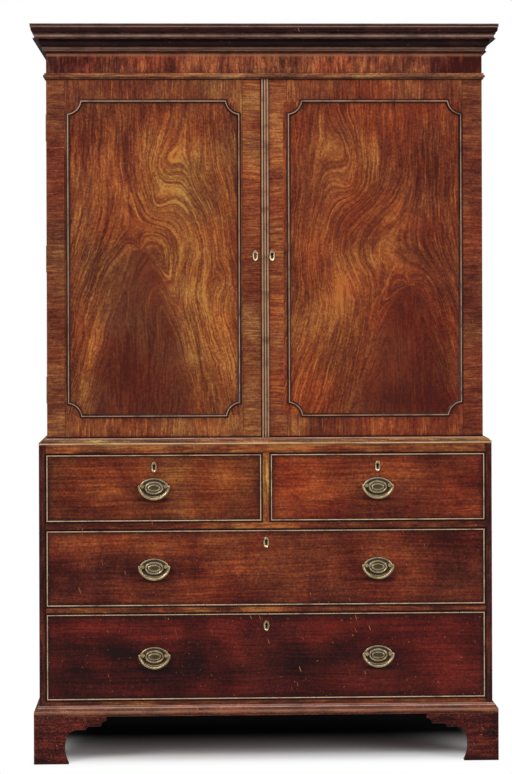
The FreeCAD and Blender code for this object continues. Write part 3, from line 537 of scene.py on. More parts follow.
@shared("veneer blocks", {"Place": 0.0, "Length": 0.15, "Seed": 0.0}, ("Tone", "Joint", "Number"))
def block_effect(w: Wiring, get: Sockets) -> Sequence[Socket]:
    """Wire veneer blocks laid end to end: a tone for each, the joints and their numbers.

    Args:
        w: The wiring.
        get: The group's inputs.

    Returns:
        Each block's tone, a mask that is 1 on the joints, and each block's number.
    """
    at = w.total(w.math("DIVIDE", get["Place"], get["Length"]), get["Seed"])
    number = w.math("FLOOR", at)
    dice = w.node("ShaderNodeTexWhiteNoise", noise_dimensions="1D")
    w.feed(dice.inputs["W"], number)
    part = w.less(at, number)
    edge = w.least(part, w.less(1.0, part))
    joint = w.math("LESS_THAN", w.times(edge, get["Length"]), 0.0005)
    return dice.outputs["Value"], joint, number


@shared("rubbed and highlit edges", {"Radius": 0.0015}, ("Mask", "Normal"))
def wear_and_highlight_effect(w: Wiring, get: Sockets) -> Sequence[Socket]:
    """Wire rubbed edges, painted with a highlight too: where they are, and their rounded normal.

    Args:
        w: The wiring.
        get: The group's inputs.

    Returns:
        The mask and the normal.
    """
    bevel = w.node("ShaderNodeBevel", samples=4)
    w.feed(bevel.inputs["Radius"], get["Radius"])
    dot = w.node("ShaderNodeVectorMath", operation="DOT_PRODUCT")
    w.join(dot, bevel.outputs[0], w.node("ShaderNodeNewGeometry").outputs["Normal"])
    bend = w.less(1.0, dot.outputs["Value"])
    patchy = w.stretch(w.noise(w.point(), 38.0, 3.0, 0.6), 0.36, 0.62)
    return w.times(w.stretch(bend, 0.02, 0.2), patchy), bevel.outputs[0]


@shared("held dirt and painted shade", {"Reach": 0.016}, ("Mask",))
def grime_and_shade_effect(w: Wiring, get: Sockets) -> Sequence[Socket]:
    """Wire darkening in corners and against mouldings: dirt, and painted shade.

    Args:
        w: The wiring.
        get: The group's inputs.

    Returns:
        The mask of the dirt and painted shade.
    """
    open_sky = w.node("ShaderNodeAmbientOcclusion", samples=6)
    w.feed(open_sky.inputs["Distance"], get["Reach"])
    shut = w.less(1.0, open_sky.outputs["AO"])
    patchy = w.stretch(w.noise(w.point(), 22.0, 3.0, 0.6), 0.2, 0.6, 0.65, 1.0)
    return (w.times(w.stretch(shut, 0.05, 0.55), patchy),)


@shared("old knocks", {"Amount": 1.0}, ("Dents", "Scratches"))
def knock_effect(w: Wiring, get: Sockets) -> Sequence[Socket]:
    """Wire old knocks: dark dents, and pale scratches and chips.

    Args:
        w: The wiring.
        get: The group's inputs.

    Returns:
        The mask of the dents, and that of the scratches and chips.
    """
    point = w.point()
    x, y, z = w.split(point)
    dents = w.stretch(w.noise(point, 75.0, 3.0, 0.7), 0.66, 0.72)
    few = w.stretch(w.noise(point, 9.0, 1.0, 0.5), 0.44, 0.58)
    chips = w.stretch(w.noise(point, 160.0, 1.0, 0.5), 0.74, 0.78)
    slant = w.place(w.times(w.total(x, w.times(z, 0.35)), 210.0), w.times(y, 60.0),
                    w.times(z, 26.0))
    lines = w.stretch(w.noise(slant, 1.0, 1.0, 0.5), 0.72, 0.77)
    pale = w.most(w.times(lines, few), chips)
    return w.times(dents, few, get["Amount"]), w.times(pale, get["Amount"])


# ---------------------------------------------------------------- finishes


class Run(Enum):
    """The way that the grain of a board runs."""

    SIDEWAYS = "x"
    BACKWARDS = "y"
    UPRIGHT = "z"


@dataclass(frozen=True)
class Spot:
    """A soft oval place that is lighter or darker than the timber round it.

    Attributes:
        x: Its middle, sideways.
        z: Its middle, upwards.
        wide: Half its width.
        tall: Half its height.
        much: How much lighter it is, below zero for darker.
        lean: How far it moves sideways as it rises.
    """

    x: float
    z: float
    wide: float
    tall: float
    much: float
    lean: float = 0.0

    def lay(self, w: Wiring, side: Socket, rise: Socket, value: Socket) -> Socket:
        """Add the spot to a value.

        Args:
            w: The wiring.
            side: Where the value is read, sideways.
            rise: Where it is read, upwards.
            value: The value.

        Returns:
            The value with the spot.
        """
        mask = w.effect(spot_effect(), Side=side, Rise=rise, Spot_side=self.x, Spot_rise=self.z,
                        Wide=self.wide, Tall=self.tall, Lean=self.lean)[0]
        return w.total(value, w.times(mask, self.much))


@dataclass(frozen=True)
class Swirl(Spot):
    """A place that the grain lines curl round: much says how far it draws them sideways."""


@dataclass(frozen=True)
class Rib:
    """A level band on an edge or bead: a painted highlight when pale, a painted shadow when dark.

    Attributes:
        z: Its height.
        tall: Half its height.
        share: How strongly it shows.
        tone: Its tone, where it isn't the board's own worn_and_highlit one.
    """

    z: float
    tall: float
    share: float
    tone: Tone | None = None


@dataclass(frozen=True)
class Tones:
    """The tones of a timber: dark lines, the ground, light lines and the brightest.

    Attributes:
        ground: The mean tone.
        spread: How far the dark and light lines lie from it, 1 for a third of its own value.
        gold: How far the light lines turn from red to gold.
    """

    ground: Tone
    spread: float = 1.0
    gold: float = 1.0

    def stops(self) -> list[tuple[float, Sequence[float]]]:
        """Return the places and linear colours of a colour ramp.

        Returns:
            The stops, from the darkest to the brightest.
        """
        red, green, blue = self.ground
        dark = 1.0 - 0.42 * self.spread
        light = 1.0 + 0.34 * self.spread
        lift = 1.0 + 0.16 * self.gold
        bright = 1.0 + 0.62 * self.spread
        return [(0.10, screen((red * dark, green * dark * 0.74, blue * dark * 0.95))),
                (0.5, screen(self.ground)),
                (0.8, screen((min(250.0, red * light), min(235.0, green * light * lift),
                              blue * light))),
                (1.0, screen((min(252.0, red * bright), min(240.0, green * bright * lift * lift),
                              blue * bright * lift)))]


@dataclass(frozen=True)
class Finish:
    """What a material is made from.

    Attributes:
        name: The material's name.
    """

    name: str

    def shader(self, w: Wiring) -> bpy.types.Node:
        """Place the material's nodes and return its shader."""
        raise NotImplementedError

    def material(self) -> bpy.types.Material:
        """Return the material, built once for each name.

        Returns:
            The material.
        """
        if self.name in bpy.data.materials:
            return bpy.data.materials[self.name]
        made = bpy.data.materials.new(self.name)
        made.use_nodes = True
        w = Wiring(made.node_tree)
        w.close(self.shader(w))
        return made


@dataclass(frozen=True)
class Timber(Finish):
    """A timber and how it is finished.

    Attributes:
        tones: Its tones.
        run: The way the grain runs.
        streaks: Fine streaks in a metre.
        length: How fast the lines change on their way, in a metre.
        figure: How strongly the broad bands show.
        fine: How strongly the streaks show.
        gleam: How strongly sparse bright streaks show.
        cloud: How strongly the patina clouds it.
        mottle: How strongly fine mottle shows.
        hue: How strongly redder and less red places show.
        spots: Lighter and darker places.
        ribs: Level bands: pale ones painted highlights on rubbed edges, dark ones painted shadows.
        fronts: Nodes of the fronts round whose gaps a line of painted shade lies on this board.
        polish: How much wax and polish it carries.
        polish_rough: The roughness of the polish.
        polish_ior: The polish's index of refraction.
        rough: The roughness of the timber.
        shine: How strongly the bare timber shines.
        relief: How strongly its streaks, pores and dents stand out, and how deep they are.
        worn_and_highlit: The tone of rubbed edges, scratches, chips and painted highlights.
        wear_and_highlight: How rubbed its edges are, and how strong their painted highlight is.
        dirt_and_shade: How much dirt and painted shade its corners hold.
        knocks: How many dents and scratches it has.
        seed: Makes two boards differ.
    """

    tones: Tones = Tones((110, 52, 34))
    run: Run = Run.SIDEWAYS
    streaks: float = 170.0
    length: float = 5.0
    figure: float = 0.34
    fine: float = 0.38
    gleam: float = 0.25
    cloud: float = 0.3
    mottle: float = 0.34
    hue: float = 1.0
    spots: tuple[Spot, ...] = ()
    ribs: tuple[Rib, ...] = ()
    fronts: tuple[str, ...] = ()
    polish: float = 0.22
    polish_rough: float = 0.18
    polish_ior: float = 1.35
    rough: float = 0.40
    shine: float = 0.18
    relief: tuple[float, float] = (0.35, 0.0004)
    worn_and_highlit: Tone = (178, 122, 86)
    wear_and_highlight: float = 0.5
    dirt_and_shade: float = 0.8
    knocks: float = 0.5
    seed: float = 0.0

    def lines(self, w: Wiring) -> tuple[Socket, Socket]:
        """Return the distance across the grain and the distance along it.

        Args:
            w: The wiring.

        Returns:
            The two distances.
        """
        x, y, z = w.here()
        if self.run is Run.UPRIGHT:
            return w.total(x, w.times(y, CORNER)), z
        end, side = (w.size(part) for part in w.facing()[:2])
        if self.run is Run.BACKWARDS:
            x, y, end, side = y, x, side, end
        turned = w.math("GREATER_THAN", end, w.total(side, 0.05))
        slope = w.choose(turned, w.times(y, CORNER), 0.0)
        return w.total(z, slope), w.choose(turned, x, y)

    def wander(self, w: Wiring, across: Socket, along: Socket) -> Socket:
        """Let the grain lines wander as they go.

        Args:
            w: The wiring.
            across: The distance across the grain.
            along: The distance along it.

        Returns:
            The wandering distance across.
        """
        place = w.place(w.times(across, 5.0), w.times(along, 2.4), self.seed)
        shift = w.less(w.noise(place, 1.0, 3.0, 0.55), 0.5)
        return w.total(across, w.times(shift, 0.035))

    def lighting(self, w: Wiring, share: Socket) -> Socket:
        """Add the lighter and darker places to the share of bright timber.

        Args:
            w: The wiring.
            share: The share of bright timber.

        Returns:
            The new share.
        """
        if not self.spots:
            return share
        x, _, z = w.here()
        for spot in self.spots:
            share = spot.lay(w, x, z, share)
        return share

    def extra(self, w: Wiring, colour: Socket) -> Socket:
        """Lay on ribs of painted highlight and shadow, and painted shade round the fronts it holds.

        Args:
            w: The wiring.
            colour: The colour so far.

        Returns:
            The new colour.
        """
        x, _, z = w.here()
        # lines of painted shade round the fronts, for the shade in their gaps
        for name in self.fronts:
            low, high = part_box(name)
            far = (w.less(w.size(w.less(at, (low[k] + high[k]) / 2)), (high[k] - low[k]) / 2)
                   for at, k in ((x, 0), (z, 2)))
            line = w.stretch(w.most(*far), *GAP_SHADE_EDGES, 0.0, GAP_SHADE_SHARE)
            colour = w.paint(line, colour, GAP_SHADE)
        # ribs: pale ones painted highlights on rubbed edges, dark ones painted shadows
        for rib in self.ribs:
            mask = w.effect(spot_effect(), Rise=z, Spot_rise=rib.z, Tall=rib.tall)[0]
            loose = w.noise(w.place(w.times(x, 14.0), rib.z * 90.0, 0.0), 1.0, 4.0, 0.65)
            band_patches = w.stretch(loose, 0.3, 0.6, 0.45, 1.0)
            colour = w.paint(w.times(mask, band_patches, rib.share), colour, rib.tone or self.worn_and_highlit)
        return colour

    def shader(self, w: Wiring) -> bpy.types.Node:
        """Place the timber's nodes and return its shader.

        Args:
            w: The wiring.

        Returns:
            The shader.
        """
        across, along = self.lines(w)
        grain = w.effect(grain_effect(), Across=self.wander(w, across, along), Along=along,
                         Length=self.length, Streaks=self.streaks, Seed=self.seed)
        uneven = w.effect(cloud_effect(), Seed=self.seed)
        parts = ((grain["Figure"], self.figure), (grain["Streaks"], self.fine),
                 (uneven["Clouds"], self.cloud), (uneven["Mottle"], self.mottle))
        share = w.total(0.5, w.times(grain["Gleams"], self.gleam),
                        *(w.times(w.less(part, 0.5), much) for part, much in parts))
        colour = w.ramp(self.lighting(w, share), self.tones.stops())
        colour = w.mix(self.hue, colour, w.mix(uneven["Redness"], COOL, WARM), "MULTIPLY")
        colour = w.paint(w.times(grain["Pores"], 0.4), colour, PORE)
        colour = self.extra(w, colour)
        knocks = w.effect(knock_effect(), Amount=self.knocks)
        colour = w.paint(knocks["Dents"], colour, DENT)
        colour = w.paint(w.times(knocks["Scratches"], 0.7), colour, self.worn_and_highlit)
        # edges painted pale: rubbing, and a painted highlight
        wear_and_highlight = w.effect(wear_and_highlight_effect())
        rubbed_and_highlit = w.times(wear_and_highlight["Mask"], self.wear_and_highlight)
        colour = w.paint(rubbed_and_highlit, colour, self.worn_and_highlit)
        # darker in corners and against mouldings, from ambient occlusion: dirt and painted shade
        dirt_and_shade = w.times(w.effect(grime_and_shade_effect())[0], self.dirt_and_shade)
        height = w.total(w.times(grain["Streaks"], 0.4), w.times(grain["Pores"], -0.6),
                         w.times(knocks["Dents"], -1.5))
        rough = w.total(self.rough, w.times(grain["Pores"], 0.15), w.times(dirt_and_shade, 0.2),
                        w.times(rubbed_and_highlit, 0.12), w.times(w.less(uneven["Clouds"], 0.5), 0.12))
        return w.give(w.node("ShaderNodeBsdfPrincipled"), Base_Color=w.paint(dirt_and_shade, colour, GRIME_AND_SHADE),
                      Roughness=rough, Specular_IOR_Level=self.shine, Coat_Weight=self.polish,
                      Coat_Roughness=self.polish_rough, Coat_IOR=self.polish_ior,
                      Normal=w.relief(height, wear_and_highlight["Normal"], *self.relief))


@dataclass(frozen=True)
class FlameVeneer(Timber):
    """Veneer from the fork of a tree, whose lines part round a plain dark heart and curl.

    Attributes:
        fork: The side and height of the point that the lines part above.
        half_width: Half the width that the heart grows to.
        soft: How softly the heart begins.
        spread: How fast the heart widens on its way down, in a metre.
        heart: How much darker the heart is.
        calm: How much fainter the lines are in the heart.
        bend: How far the lines bend loosely.
        swirls: What the lines curl round.
    """

    streaks: float = 190.0
    length: float = 4.0
    figure: float = 0.25
    fine: float = 0.40
    cloud: float = 0.2
    mottle: float = 0.42
    knocks: float = 0.35
    fork: tuple[float, float] = (0.0, 0.0)
    half_width: float = 0.15
    soft: float = 0.05
    spread: float = 2.2
    heart: float = -0.2
    calm: float = 0.45
    bend: float = 0.05
    swirls: tuple[Swirl, ...] = ()

    def crook(self, w: Wiring) -> tuple[Socket, Socket, Sockets]:
        """Return the side, the height and what the fork's group makes of them.

        Args:
            w: The wiring.

        Returns:
            The side, the height and the group's outputs.
        """
        x, _, z = w.here()
        loose = w.place(w.times(x, 7.0), self.seed, w.times(z, 4.0))
        side = w.total(x, w.times(w.less(w.noise(loose, 1.0, 4.0, 0.66), 0.5), self.bend))
        return side, z, w.effect(fork_effect(), Side=side, Rise=z, Fork_side=self.fork[0],
                                 Fork_rise=self.fork[1], Half_width=self.half_width,
                                 Soft=self.soft, Spread=self.spread)

    def lines(self, w: Wiring) -> tuple[Socket, Socket]:
        """Return the distance across the parted and curled lines, and the height.

        Args:
            w: The wiring.

        Returns:
            The two distances.
        """
        side, z, fork = self.crook(w)
        across = fork["Across"]
        for swirl in self.swirls:
            across = swirl.lay(w, side, z, across)
        return w.choose(w.behind(), across, side), z

    def lighting(self, w: Wiring, share: Socket) -> Socket:
        """Calm and darken the heart, besides the lighter and darker places.

        Args:
            w: The wiring.
            share: The share of bright timber.

        Returns:
            The new share.
        """
        inside = self.crook(w)[2]["Inside"]
        calm = w.less(1.0, w.times(inside, self.calm))
        veneer = w.total(w.times(w.less(share, 0.5), calm), 0.5, w.times(inside, self.heart))
        return w.choose(w.behind(), super().lighting(w, veneer), share)


@dataclass(frozen=True)
class Crossbanding(Timber):
    """Veneer laid across a door's frame, block after block.

    Attributes:
        middle_x: The door's middle.
        inner: Half the width between the stiles' bands.
        block: The length of one block.
        offset: How far the blocks of one side are moved from the other side's.
        jump: How far the grain lines jump from block to block.
        uneven: How far the blocks' tones differ.
        joint: How strongly a joint between blocks shows, beside one between stile and rail.
        seam: Half the width of the joint between stile and rail.
    """

    streaks: float = 210.0
    length: float = 7.0
    figure: float = 0.22
    fine: float = 0.34
    cloud: float = 0.28
    middle_x: float = 0.0
    inner: float = 0.2
    block: float = 0.17
    offset: float = 0.31
    jump: float = 0.37
    uneven: float = 0.22
    joint: float = 0.5
    seam: float = 0.0007

    def stile(self, w: Wiring, x: Socket) -> Socket:
        """Return a mask that is 1 on the stiles."""
        return w.math("GREATER_THAN", w.size(w.less(x, self.middle_x)), self.inner)

    def blocks(self, w: Wiring) -> Sockets:
        """Return the effect of the blocks, along each stile and rail.

        Args:
            w: The wiring.

        Returns:
            The group's outputs.
        """
        x, _, z = w.here()
        side = w.times(w.math("SIGN", w.less(x, self.middle_x)), self.offset)
        return w.effect(block_effect(), Place=w.total(w.choose(self.stile(w, x), x, z), side),
                        Length=self.block, Seed=self.seed)

    def lines(self, w: Wiring) -> tuple[Socket, Socket]:
        """Return the distances: at the front, across is along the member, block after block.

        Args:
            w: The wiring.

        Returns:
            The two distances.
        """
        x, _, z = w.here()
        behind = w.behind()
        level = w.size(w.less(self.stile(w, x), behind))
        fresh = w.choose(behind, w.times(self.blocks(w)["Number"], self.jump), 0.0)
        return w.total(w.choose(level, x, z), fresh), w.choose(level, z, x)

    def lighting(self, w: Wiring, share: Socket) -> Socket:
        """Give each block its own tone, besides the lighter and darker places."""
        tone = w.times(w.less(self.blocks(w)["Tone"], 0.5), self.uneven)
        return w.choose(w.behind(), super().lighting(w, w.total(share, tone)), share)

    def extra(self, w: Wiring, colour: Socket) -> Socket:
        """Draw the joints between blocks, and between stiles and rails.

        Args:
            w: The wiring.
            colour: The colour so far.

        Returns:
            The new colour.
        """
        off = w.size(w.less(w.here()[0], self.middle_x))
        seam = w.math("LESS_THAN", w.size(w.less(off, self.inner)), self.seam)
        joints = w.choose(w.behind(), self.blocks(w)["Joint"], 0.0)
        lines = w.most(w.times(joints, self.joint), seam)
        return w.paint(w.times(lines, 0.7), colour, JOINT)


@dataclass(frozen=True)
class Moulding(Timber):
    """A board or moulding whose proudest part carries a painted highlight on rubbed timber.

    Attributes:
        low: The plane where the pale part begins.
        high: The plane where it is fully pale.
        pale: The tone of the painted highlight on rubbed timber.
        dull: The tone where the painted highlight is fainter.
    """

    low: float = 0.0
    high: float = 0.0
    pale: Tone = (196, 160, 130)
    dull: Tone = (124, 78, 56)

    def extra(self, w: Wiring, colour: Socket) -> Socket:
        """Colour the pale part: the painted highlight on rubbed timber.

        Args:
            w: The wiring.
            colour: The colour so far.

        Returns:
            The new colour.
        """
        colour = super().extra(w, colour)
        x, y, z = w.here()
        # the proudest part painted pale: a painted highlight on rubbed timber
        proud = w.stretch(w.times(y, -1.0), -self.low, -self.high)
        band_patches = w.noise(w.place(w.times(x, 16.0), 0.0, w.times(z, 22.0)), 1.0, 4.0, 0.65)
        tone = w.ramp(w.stretch(band_patches, 0.28, 0.56), ((0.0, screen(self.dull)),
                                                   (1.0, screen(self.pale))))
        return w.mix(proud, colour, tone)


@dataclass(frozen=True)
class DrawerFace(Moulding):
    """A drawer front: a bead with a painted highlight, and painted shade and old polish inside it.

    Attributes:
        node: The front's node, for its edges.
        bead: The width of the bead's pale part.
        fade: How far inside the bead its pale part ends.
        quirk: How far inside the bead the dark line of painted shade and old polish ends.
        arris: Beyond the front's edge, where the pale part begins and is full.
    """

    length: float = 2.0
    figure: float = 0.13
    fine: float = 0.27
    gleam: float = 0.16
    cloud: float = 0.36
    mottle: float = 0.42
    low: float = -0.2690
    high: float = -0.2702
    pale: Tone = (222, 184, 150)
    dull: Tone = (140, 98, 74)
    node: str = ""
    bead: float = 0.0026
    fade: tuple[float, float] = (0.0012, 0.0002)
    quirk: float = 0.0050
    arris: tuple[float, float] = (0.0002, 0.0009)

    def extra(self, w: Wiring, colour: Socket) -> Socket:
        """Paint shade and old polish inside the bead, then colour the bead's painted highlight.

        Args:
            w: The wiring.
            colour: The colour so far.

        Returns:
            The new colour.
        """
        low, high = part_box(self.node)
        x, _, z = w.here()
        gap = w.least(w.least(w.less(x, low[0]), w.less(high[0], x)),
                      w.least(w.less(z, low[2]), w.less(high[2], z)))
        loose = w.noise(w.place(w.times(x, 30.0), 0.0, w.times(z, 30.0)), 1.0, 3.0, 0.6)
        # a dark line and a softer border inside the bead: painted shade, with old polish
        line = w.stretch(gap, self.bead + self.quirk, self.bead + self.fade[0], 0.0, GAP_SHADE_SHARE)
        soft = w.stretch(w.less(gap, w.times(loose, 0.03)), 0.006, -0.012, 0.0, 0.5)
        colour = w.paint(w.most(line, soft), colour, POLISH_AND_SHADE)
        bead = w.times(w.stretch(gap, *(self.bead + part for part in self.fade)),
                       w.stretch(gap, *self.arris))
        return w.mix(bead, colour, super().extra(w, colour))


@dataclass(frozen=True)
class Brass(Finish):
    """Old lacquered brass.

    Attributes:
        bright: The tone of rubbed metal.
        dull: The tone of tarnish.
        rough: Its roughness.
        depths: Tarnish and painted shade at several planes, and how far each lies in front of the
            face.
        face: The plane that depths are measured from.
    """

    bright: Tone = (238, 212, 168)
    dull: Tone = (184, 156, 112)
    rough: float = 0.3
    depths: tuple[tuple[float, float], ...] = ()
    face: float = 0.0

    def shader(self, w: Wiring) -> bpy.types.Node:
        """Place the brass's nodes and return its shader.

        Args:
            w: The wiring.

        Returns:
            The shader.
        """
        point = w.point()
        cloud = w.stretch(w.noise(point, 60.0, 3.0, 0.55), 0.3, 0.7)
        speck = w.stretch(w.noise(point, 900.0, 2.0, 0.6), 0.58, 0.76)
        colour = w.ramp(cloud, ((0.0, screen(self.bright)), (1.0, screen(self.dull))))
        colour = w.paint(w.times(speck, 0.25), colour, SPECK)
        # edges painted pale: rubbed brass, and a painted highlight
        wear_and_highlight = w.effect(wear_and_highlight_effect(), Radius=0.0008)
        colour = w.paint(w.times(wear_and_highlight["Mask"], 0.5), colour, RUBBED_AND_HIGHLIT_BRASS)
        # darker in corners, from ambient occlusion: dirt and painted shade
        dirt_and_shade = w.effect(grime_and_shade_effect(), Reach=0.005)[0]
        # darker by depth: tarnish and painted shade in hollows, painted shade in keyholes
        if self.depths:
            proud = w.math("DIVIDE", w.less(self.face, w.here()[1]), DEEPEST / MM)
            held = w.ramp(proud, [(depth / DEEPEST, (dark, dark, dark, 1.0))
                                  for depth, dark in self.depths])
            dirt_and_shade = w.most(dirt_and_shade, held)
        rough = w.total(self.rough, w.times(cloud, 0.1), w.times(dirt_and_shade, 0.3))
        return w.give(w.node("ShaderNodeBsdfPrincipled"), Roughness=rough,
                      Base_Color=w.paint(w.times(dirt_and_shade, 0.95), colour, TARNISH_AND_SHADE),
                      Metallic=w.less(0.85, w.times(dirt_and_shade, 0.6)),
                      Normal=w.relief(cloud, wear_and_highlight["Normal"], 0.2, 0.0002))


OLD_BRASS = Brass("old brass")


def dress(finish: Finish, *nodes: str) -> None:
    """Give nodes of the frame a finish.

    Args:
        finish: The finish.
        *nodes: The nodes' names.
    """
    made = finish.material()
    for name in nodes:
        piece = bpy.data.objects[name]
        piece.data.materials.clear()
        piece.data.materials.append(made)
    log.info("%s: %s", finish.name, ", ".join(nodes))


def hang(name: str, data: bpy.types.ID) -> bpy.types.Object:
    """Put a new object in the scene.

    Args:
        name: Its name.
        data: Its mesh, lamp or camera.

    Returns:
        The object.
    """
    made = bpy.data.objects.new(name, data)
    bpy.context.scene.collection.objects.link(made)
    return made


# ---------------------------------------------------------------- the press


def ringed(name: str, rings: Sequence[Sequence[Vector]], finish: Finish, body: str,
           tip: Vector | None = None) -> bpy.types.Object:
    """Join closed rings of points, one after another, into a piece that faces forwards.

    Args:
        name: The piece's name.
        rings: The rings, each with as many points.
        finish: Its finish.
        body: The body that it rides on.
        tip: A point that closes the last ring.

    Returns:
        The piece.
    """
    shape = bmesh.new()
    made = [[shape.verts.new(point) for point in ring] for ring in rings]
    many = len(made[0])
    for outer, inner in zip(made, made[1:]):
        for i in range(many):
            j = (i + 1) % many
            shape.faces.new((outer[i], outer[j], inner[j], inner[i]))
    if tip:
        end = shape.verts.new(tip)
        for i in range(many):
            shape.faces.new((made[-1][i], made[-1][(i + 1) % many], end))
    bmesh.ops.recalc_face_normals(shape, faces=shape.faces)
    if sum(face.normal.y * face.calc_area() for face in shape.faces) > 0.0:
        bmesh.ops.reverse_faces(shape, faces=shape.faces)
    mesh = bpy.data.meshes.new(name)
    shape.to_mesh(mesh)
    shape.free()
    mesh.shade_smooth()
    mesh.materials.append(finish.material())
    piece = hang(name, mesh)
    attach(piece, body)
    "brass" if isinstance(finish, Brass) else "mahogany"
    log.info("%s: %s", finish.name, name)
    return piece


@dataclass
class OvalPlate:
    """A brass plate whose face steps in and out, oval within oval.

    Attributes:
        name: The piece's name.
        body: The body it rides on.
        x: Its middle, sideways.
        z: Its middle, upwards.
        face: The plane it lies on.
        steps: Half width, half height and stand-out of each oval, in millimetres, from the edge in.
        sides: How many points each oval has.
    """

    name: str
    body: str
    x: float
    z: float
    face: float = DRAWER_FACE
    steps: tuple[tuple[float, float, float], ...] = ()
    sides: int = 64

    def turns(self) -> list[float]:
        """Return the angles of an oval's points."""
        return [math.tau * i / self.sides for i in range(self.sides)]

    def at(self, side: float, rise: float, proud: float) -> Vector:
        """Return a point of the plate, from millimetres."""
        return Vector((self.x + side / MM, self.face - proud / MM, self.z + rise / MM))

    def ovals(self) -> list[list[Vector]]:
        """Return the points of each oval."""
        return [[self.at(wide * math.cos(turn), tall * math.sin(turn), proud)
                 for turn in self.turns()] for wide, tall, proud in self.steps]


@dataclass
class BackPlate(OvalPlate):
    """The stamped oval plate behind a bail: a rim, a raised ring and a raised oval in the middle.

    Attributes:
        middle: How far its middle stands out, in millimetres.
    """

    steps: tuple[tuple[float, float, float], ...] = (
        (41.4, 26.9, 0.1), (41.8, 27.3, 1.4), (41.0, 26.9, 2.6), (39.0, 25.7, 3.2),
        (36.6, 24.3, 3.1), (35.0, 23.3, 2.4), (33.4, 22.4, 1.6), (28.6, 19.6, 1.5),
        (26.9, 18.0, 2.5), (25.8, 17.2, 4.0), (24.2, 16.0, 4.8), (22.4, 14.4, 4.5),
        (21.3, 13.1, 3.0), (20.4, 12.2, 2.5), (18.9, 10.5, 2.5), (18.1, 9.7, 3.6),
        (17.2, 8.8, 4.8), (15.8, 7.6, 4.9), (14.6, 6.6, 4.0), (9.5, 3.8, 3.6))
    middle: float = 3.55

    def build(self, finish: Brass) -> None:
        """Turn the plate's steps into a mesh."""
        ringed(self.name, self.ovals(), finish, self.body, self.at(0.0, 0.0, self.middle))


@dataclass
class KeyPlate(OvalPlate):
    """The raised rim of a key plate, with a keyhole in its floor.

    Attributes:
        floor: How far the floor stands out at the keyhole, and just inside it, in millimetres.
        bore: The radius of the keyhole's round part, in millimetres.
        lift: How far the round part's middle lies above the plate's, in millimetres.
        slot: Half the width of the keyhole's slot, in millimetres.
        foot: How far the slot reaches down, in millimetres.
    """

    steps: tuple[tuple[float, float, float], ...] = (
        (7.6, 15.1, 0.1), (7.9, 15.4, 1.0), (7.4, 14.9, 1.9), (6.6, 14.1, 2.2), (5.9, 13.4, 1.9),
        (5.5, 12.9, 1.4))
    sides: int = 48
    floor: tuple[float, float] = (1.35, 1.22)
    bore: float = 4.1
    lift: float = 3.4
    slot: float = 2.5
    foot: float = 8.4

    def keyhole(self, turn: float) -> tuple[float, float]:
        """Return the keyhole's edge at an angle from the plate's middle, in millimetres.

        Args:
            turn: The angle, in radians.

        Returns:
            How far aside and how far up the edge lies.
        """
        side, rise = math.cos(turn), math.sin(turn)
        bore = self.lift * rise + math.sqrt(self.bore ** 2 - (self.lift * side) ** 2)
        slot = min(self.slot / max(abs(side), TINY),
                   (self.foot if rise < 0.0 else self.lift) / max(abs(rise), TINY))
        reach = max(bore, slot)
        return reach * side, reach * rise

    def build(self, finish: Brass) -> None:
        """Turn the steps into a mesh that ends at the keyhole.

        Args:
            finish: The piece's finish.
        """
        holes = [[self.at(*self.keyhole(turn), proud) for turn in self.turns()]
                 for proud in self.floor]
        ringed(self.name, self.ovals() + holes, finish, self.body)


@dataclass
class PanelBead:
    """The bead round a door's panel: a quirk and a round, swept along sides with scooped corners.

    Attributes:
        side: left or right.
        scoop: The radius of the corners.
        section: How far in and how far out each corner of the section is, in millimetres.
        turns: How many pieces each corner's arc has.
    """

    side: str
    scoop: float = 0.037
    section: tuple[tuple[float, float], ...] = (
        (0.0, 0.0), (0.0, 2.1), (1.0, 2.5), (1.8, 2.2), (2.2, 3.4), (3.0, 4.7), (4.1, 5.3),
        (5.2, 5.45), (6.3, 5.2), (7.3, 4.4), (7.9, 3.2), (8.3, 1.9), (9.6, 1.6), (10.6, 0.9),
        (10.9, 0.0))
    turns: int = 8

    def outline(self, inset: float, y: float) -> list[Vector]:
        """Return the outline's points, inset from the outer edge.

        Args:
            inset: How far in.
            y: The plane they lie on.

        Returns:
            The points in order, with as many for every inset.
        """
        low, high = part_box(f"{self.side}_door_moulding")
        radius = self.scoop + inset
        start = math.asin(inset / radius)
        corners = ((low[0], low[2], 1.0, 1.0), (low[0], high[2], 1.0, -1.0),
                   (high[0], high[2], -1.0, -1.0), (high[0], low[2], -1.0, 1.0))
        points = []
        for number, (x, z, right, up) in enumerate(corners):
            for i in range(self.turns + 1):
                turn = start + (math.pi / 2.0 - 2.0 * start) * i / self.turns
                if number % 2:
                    turn = math.pi / 2.0 - turn
                points.append(Vector((x + right * radius * math.cos(turn), y,
                                      z + up * radius * math.sin(turn))))
        return points

    def build(self, finish: Timber) -> None:
        """Sweep the section and put it in the place of the frame's plain one.

        Args:
            finish: The piece's finish.
        """
        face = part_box(f"{self.side}_door_moulding")[1][1]
        rings = [self.outline(inset / MM, face - proud / MM) for inset, proud in self.section]
        piece = ringed(f"{self.side}_door_bead", rings, finish, f"{self.side}_door")
        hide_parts(f"{self.side}_door_moulding")


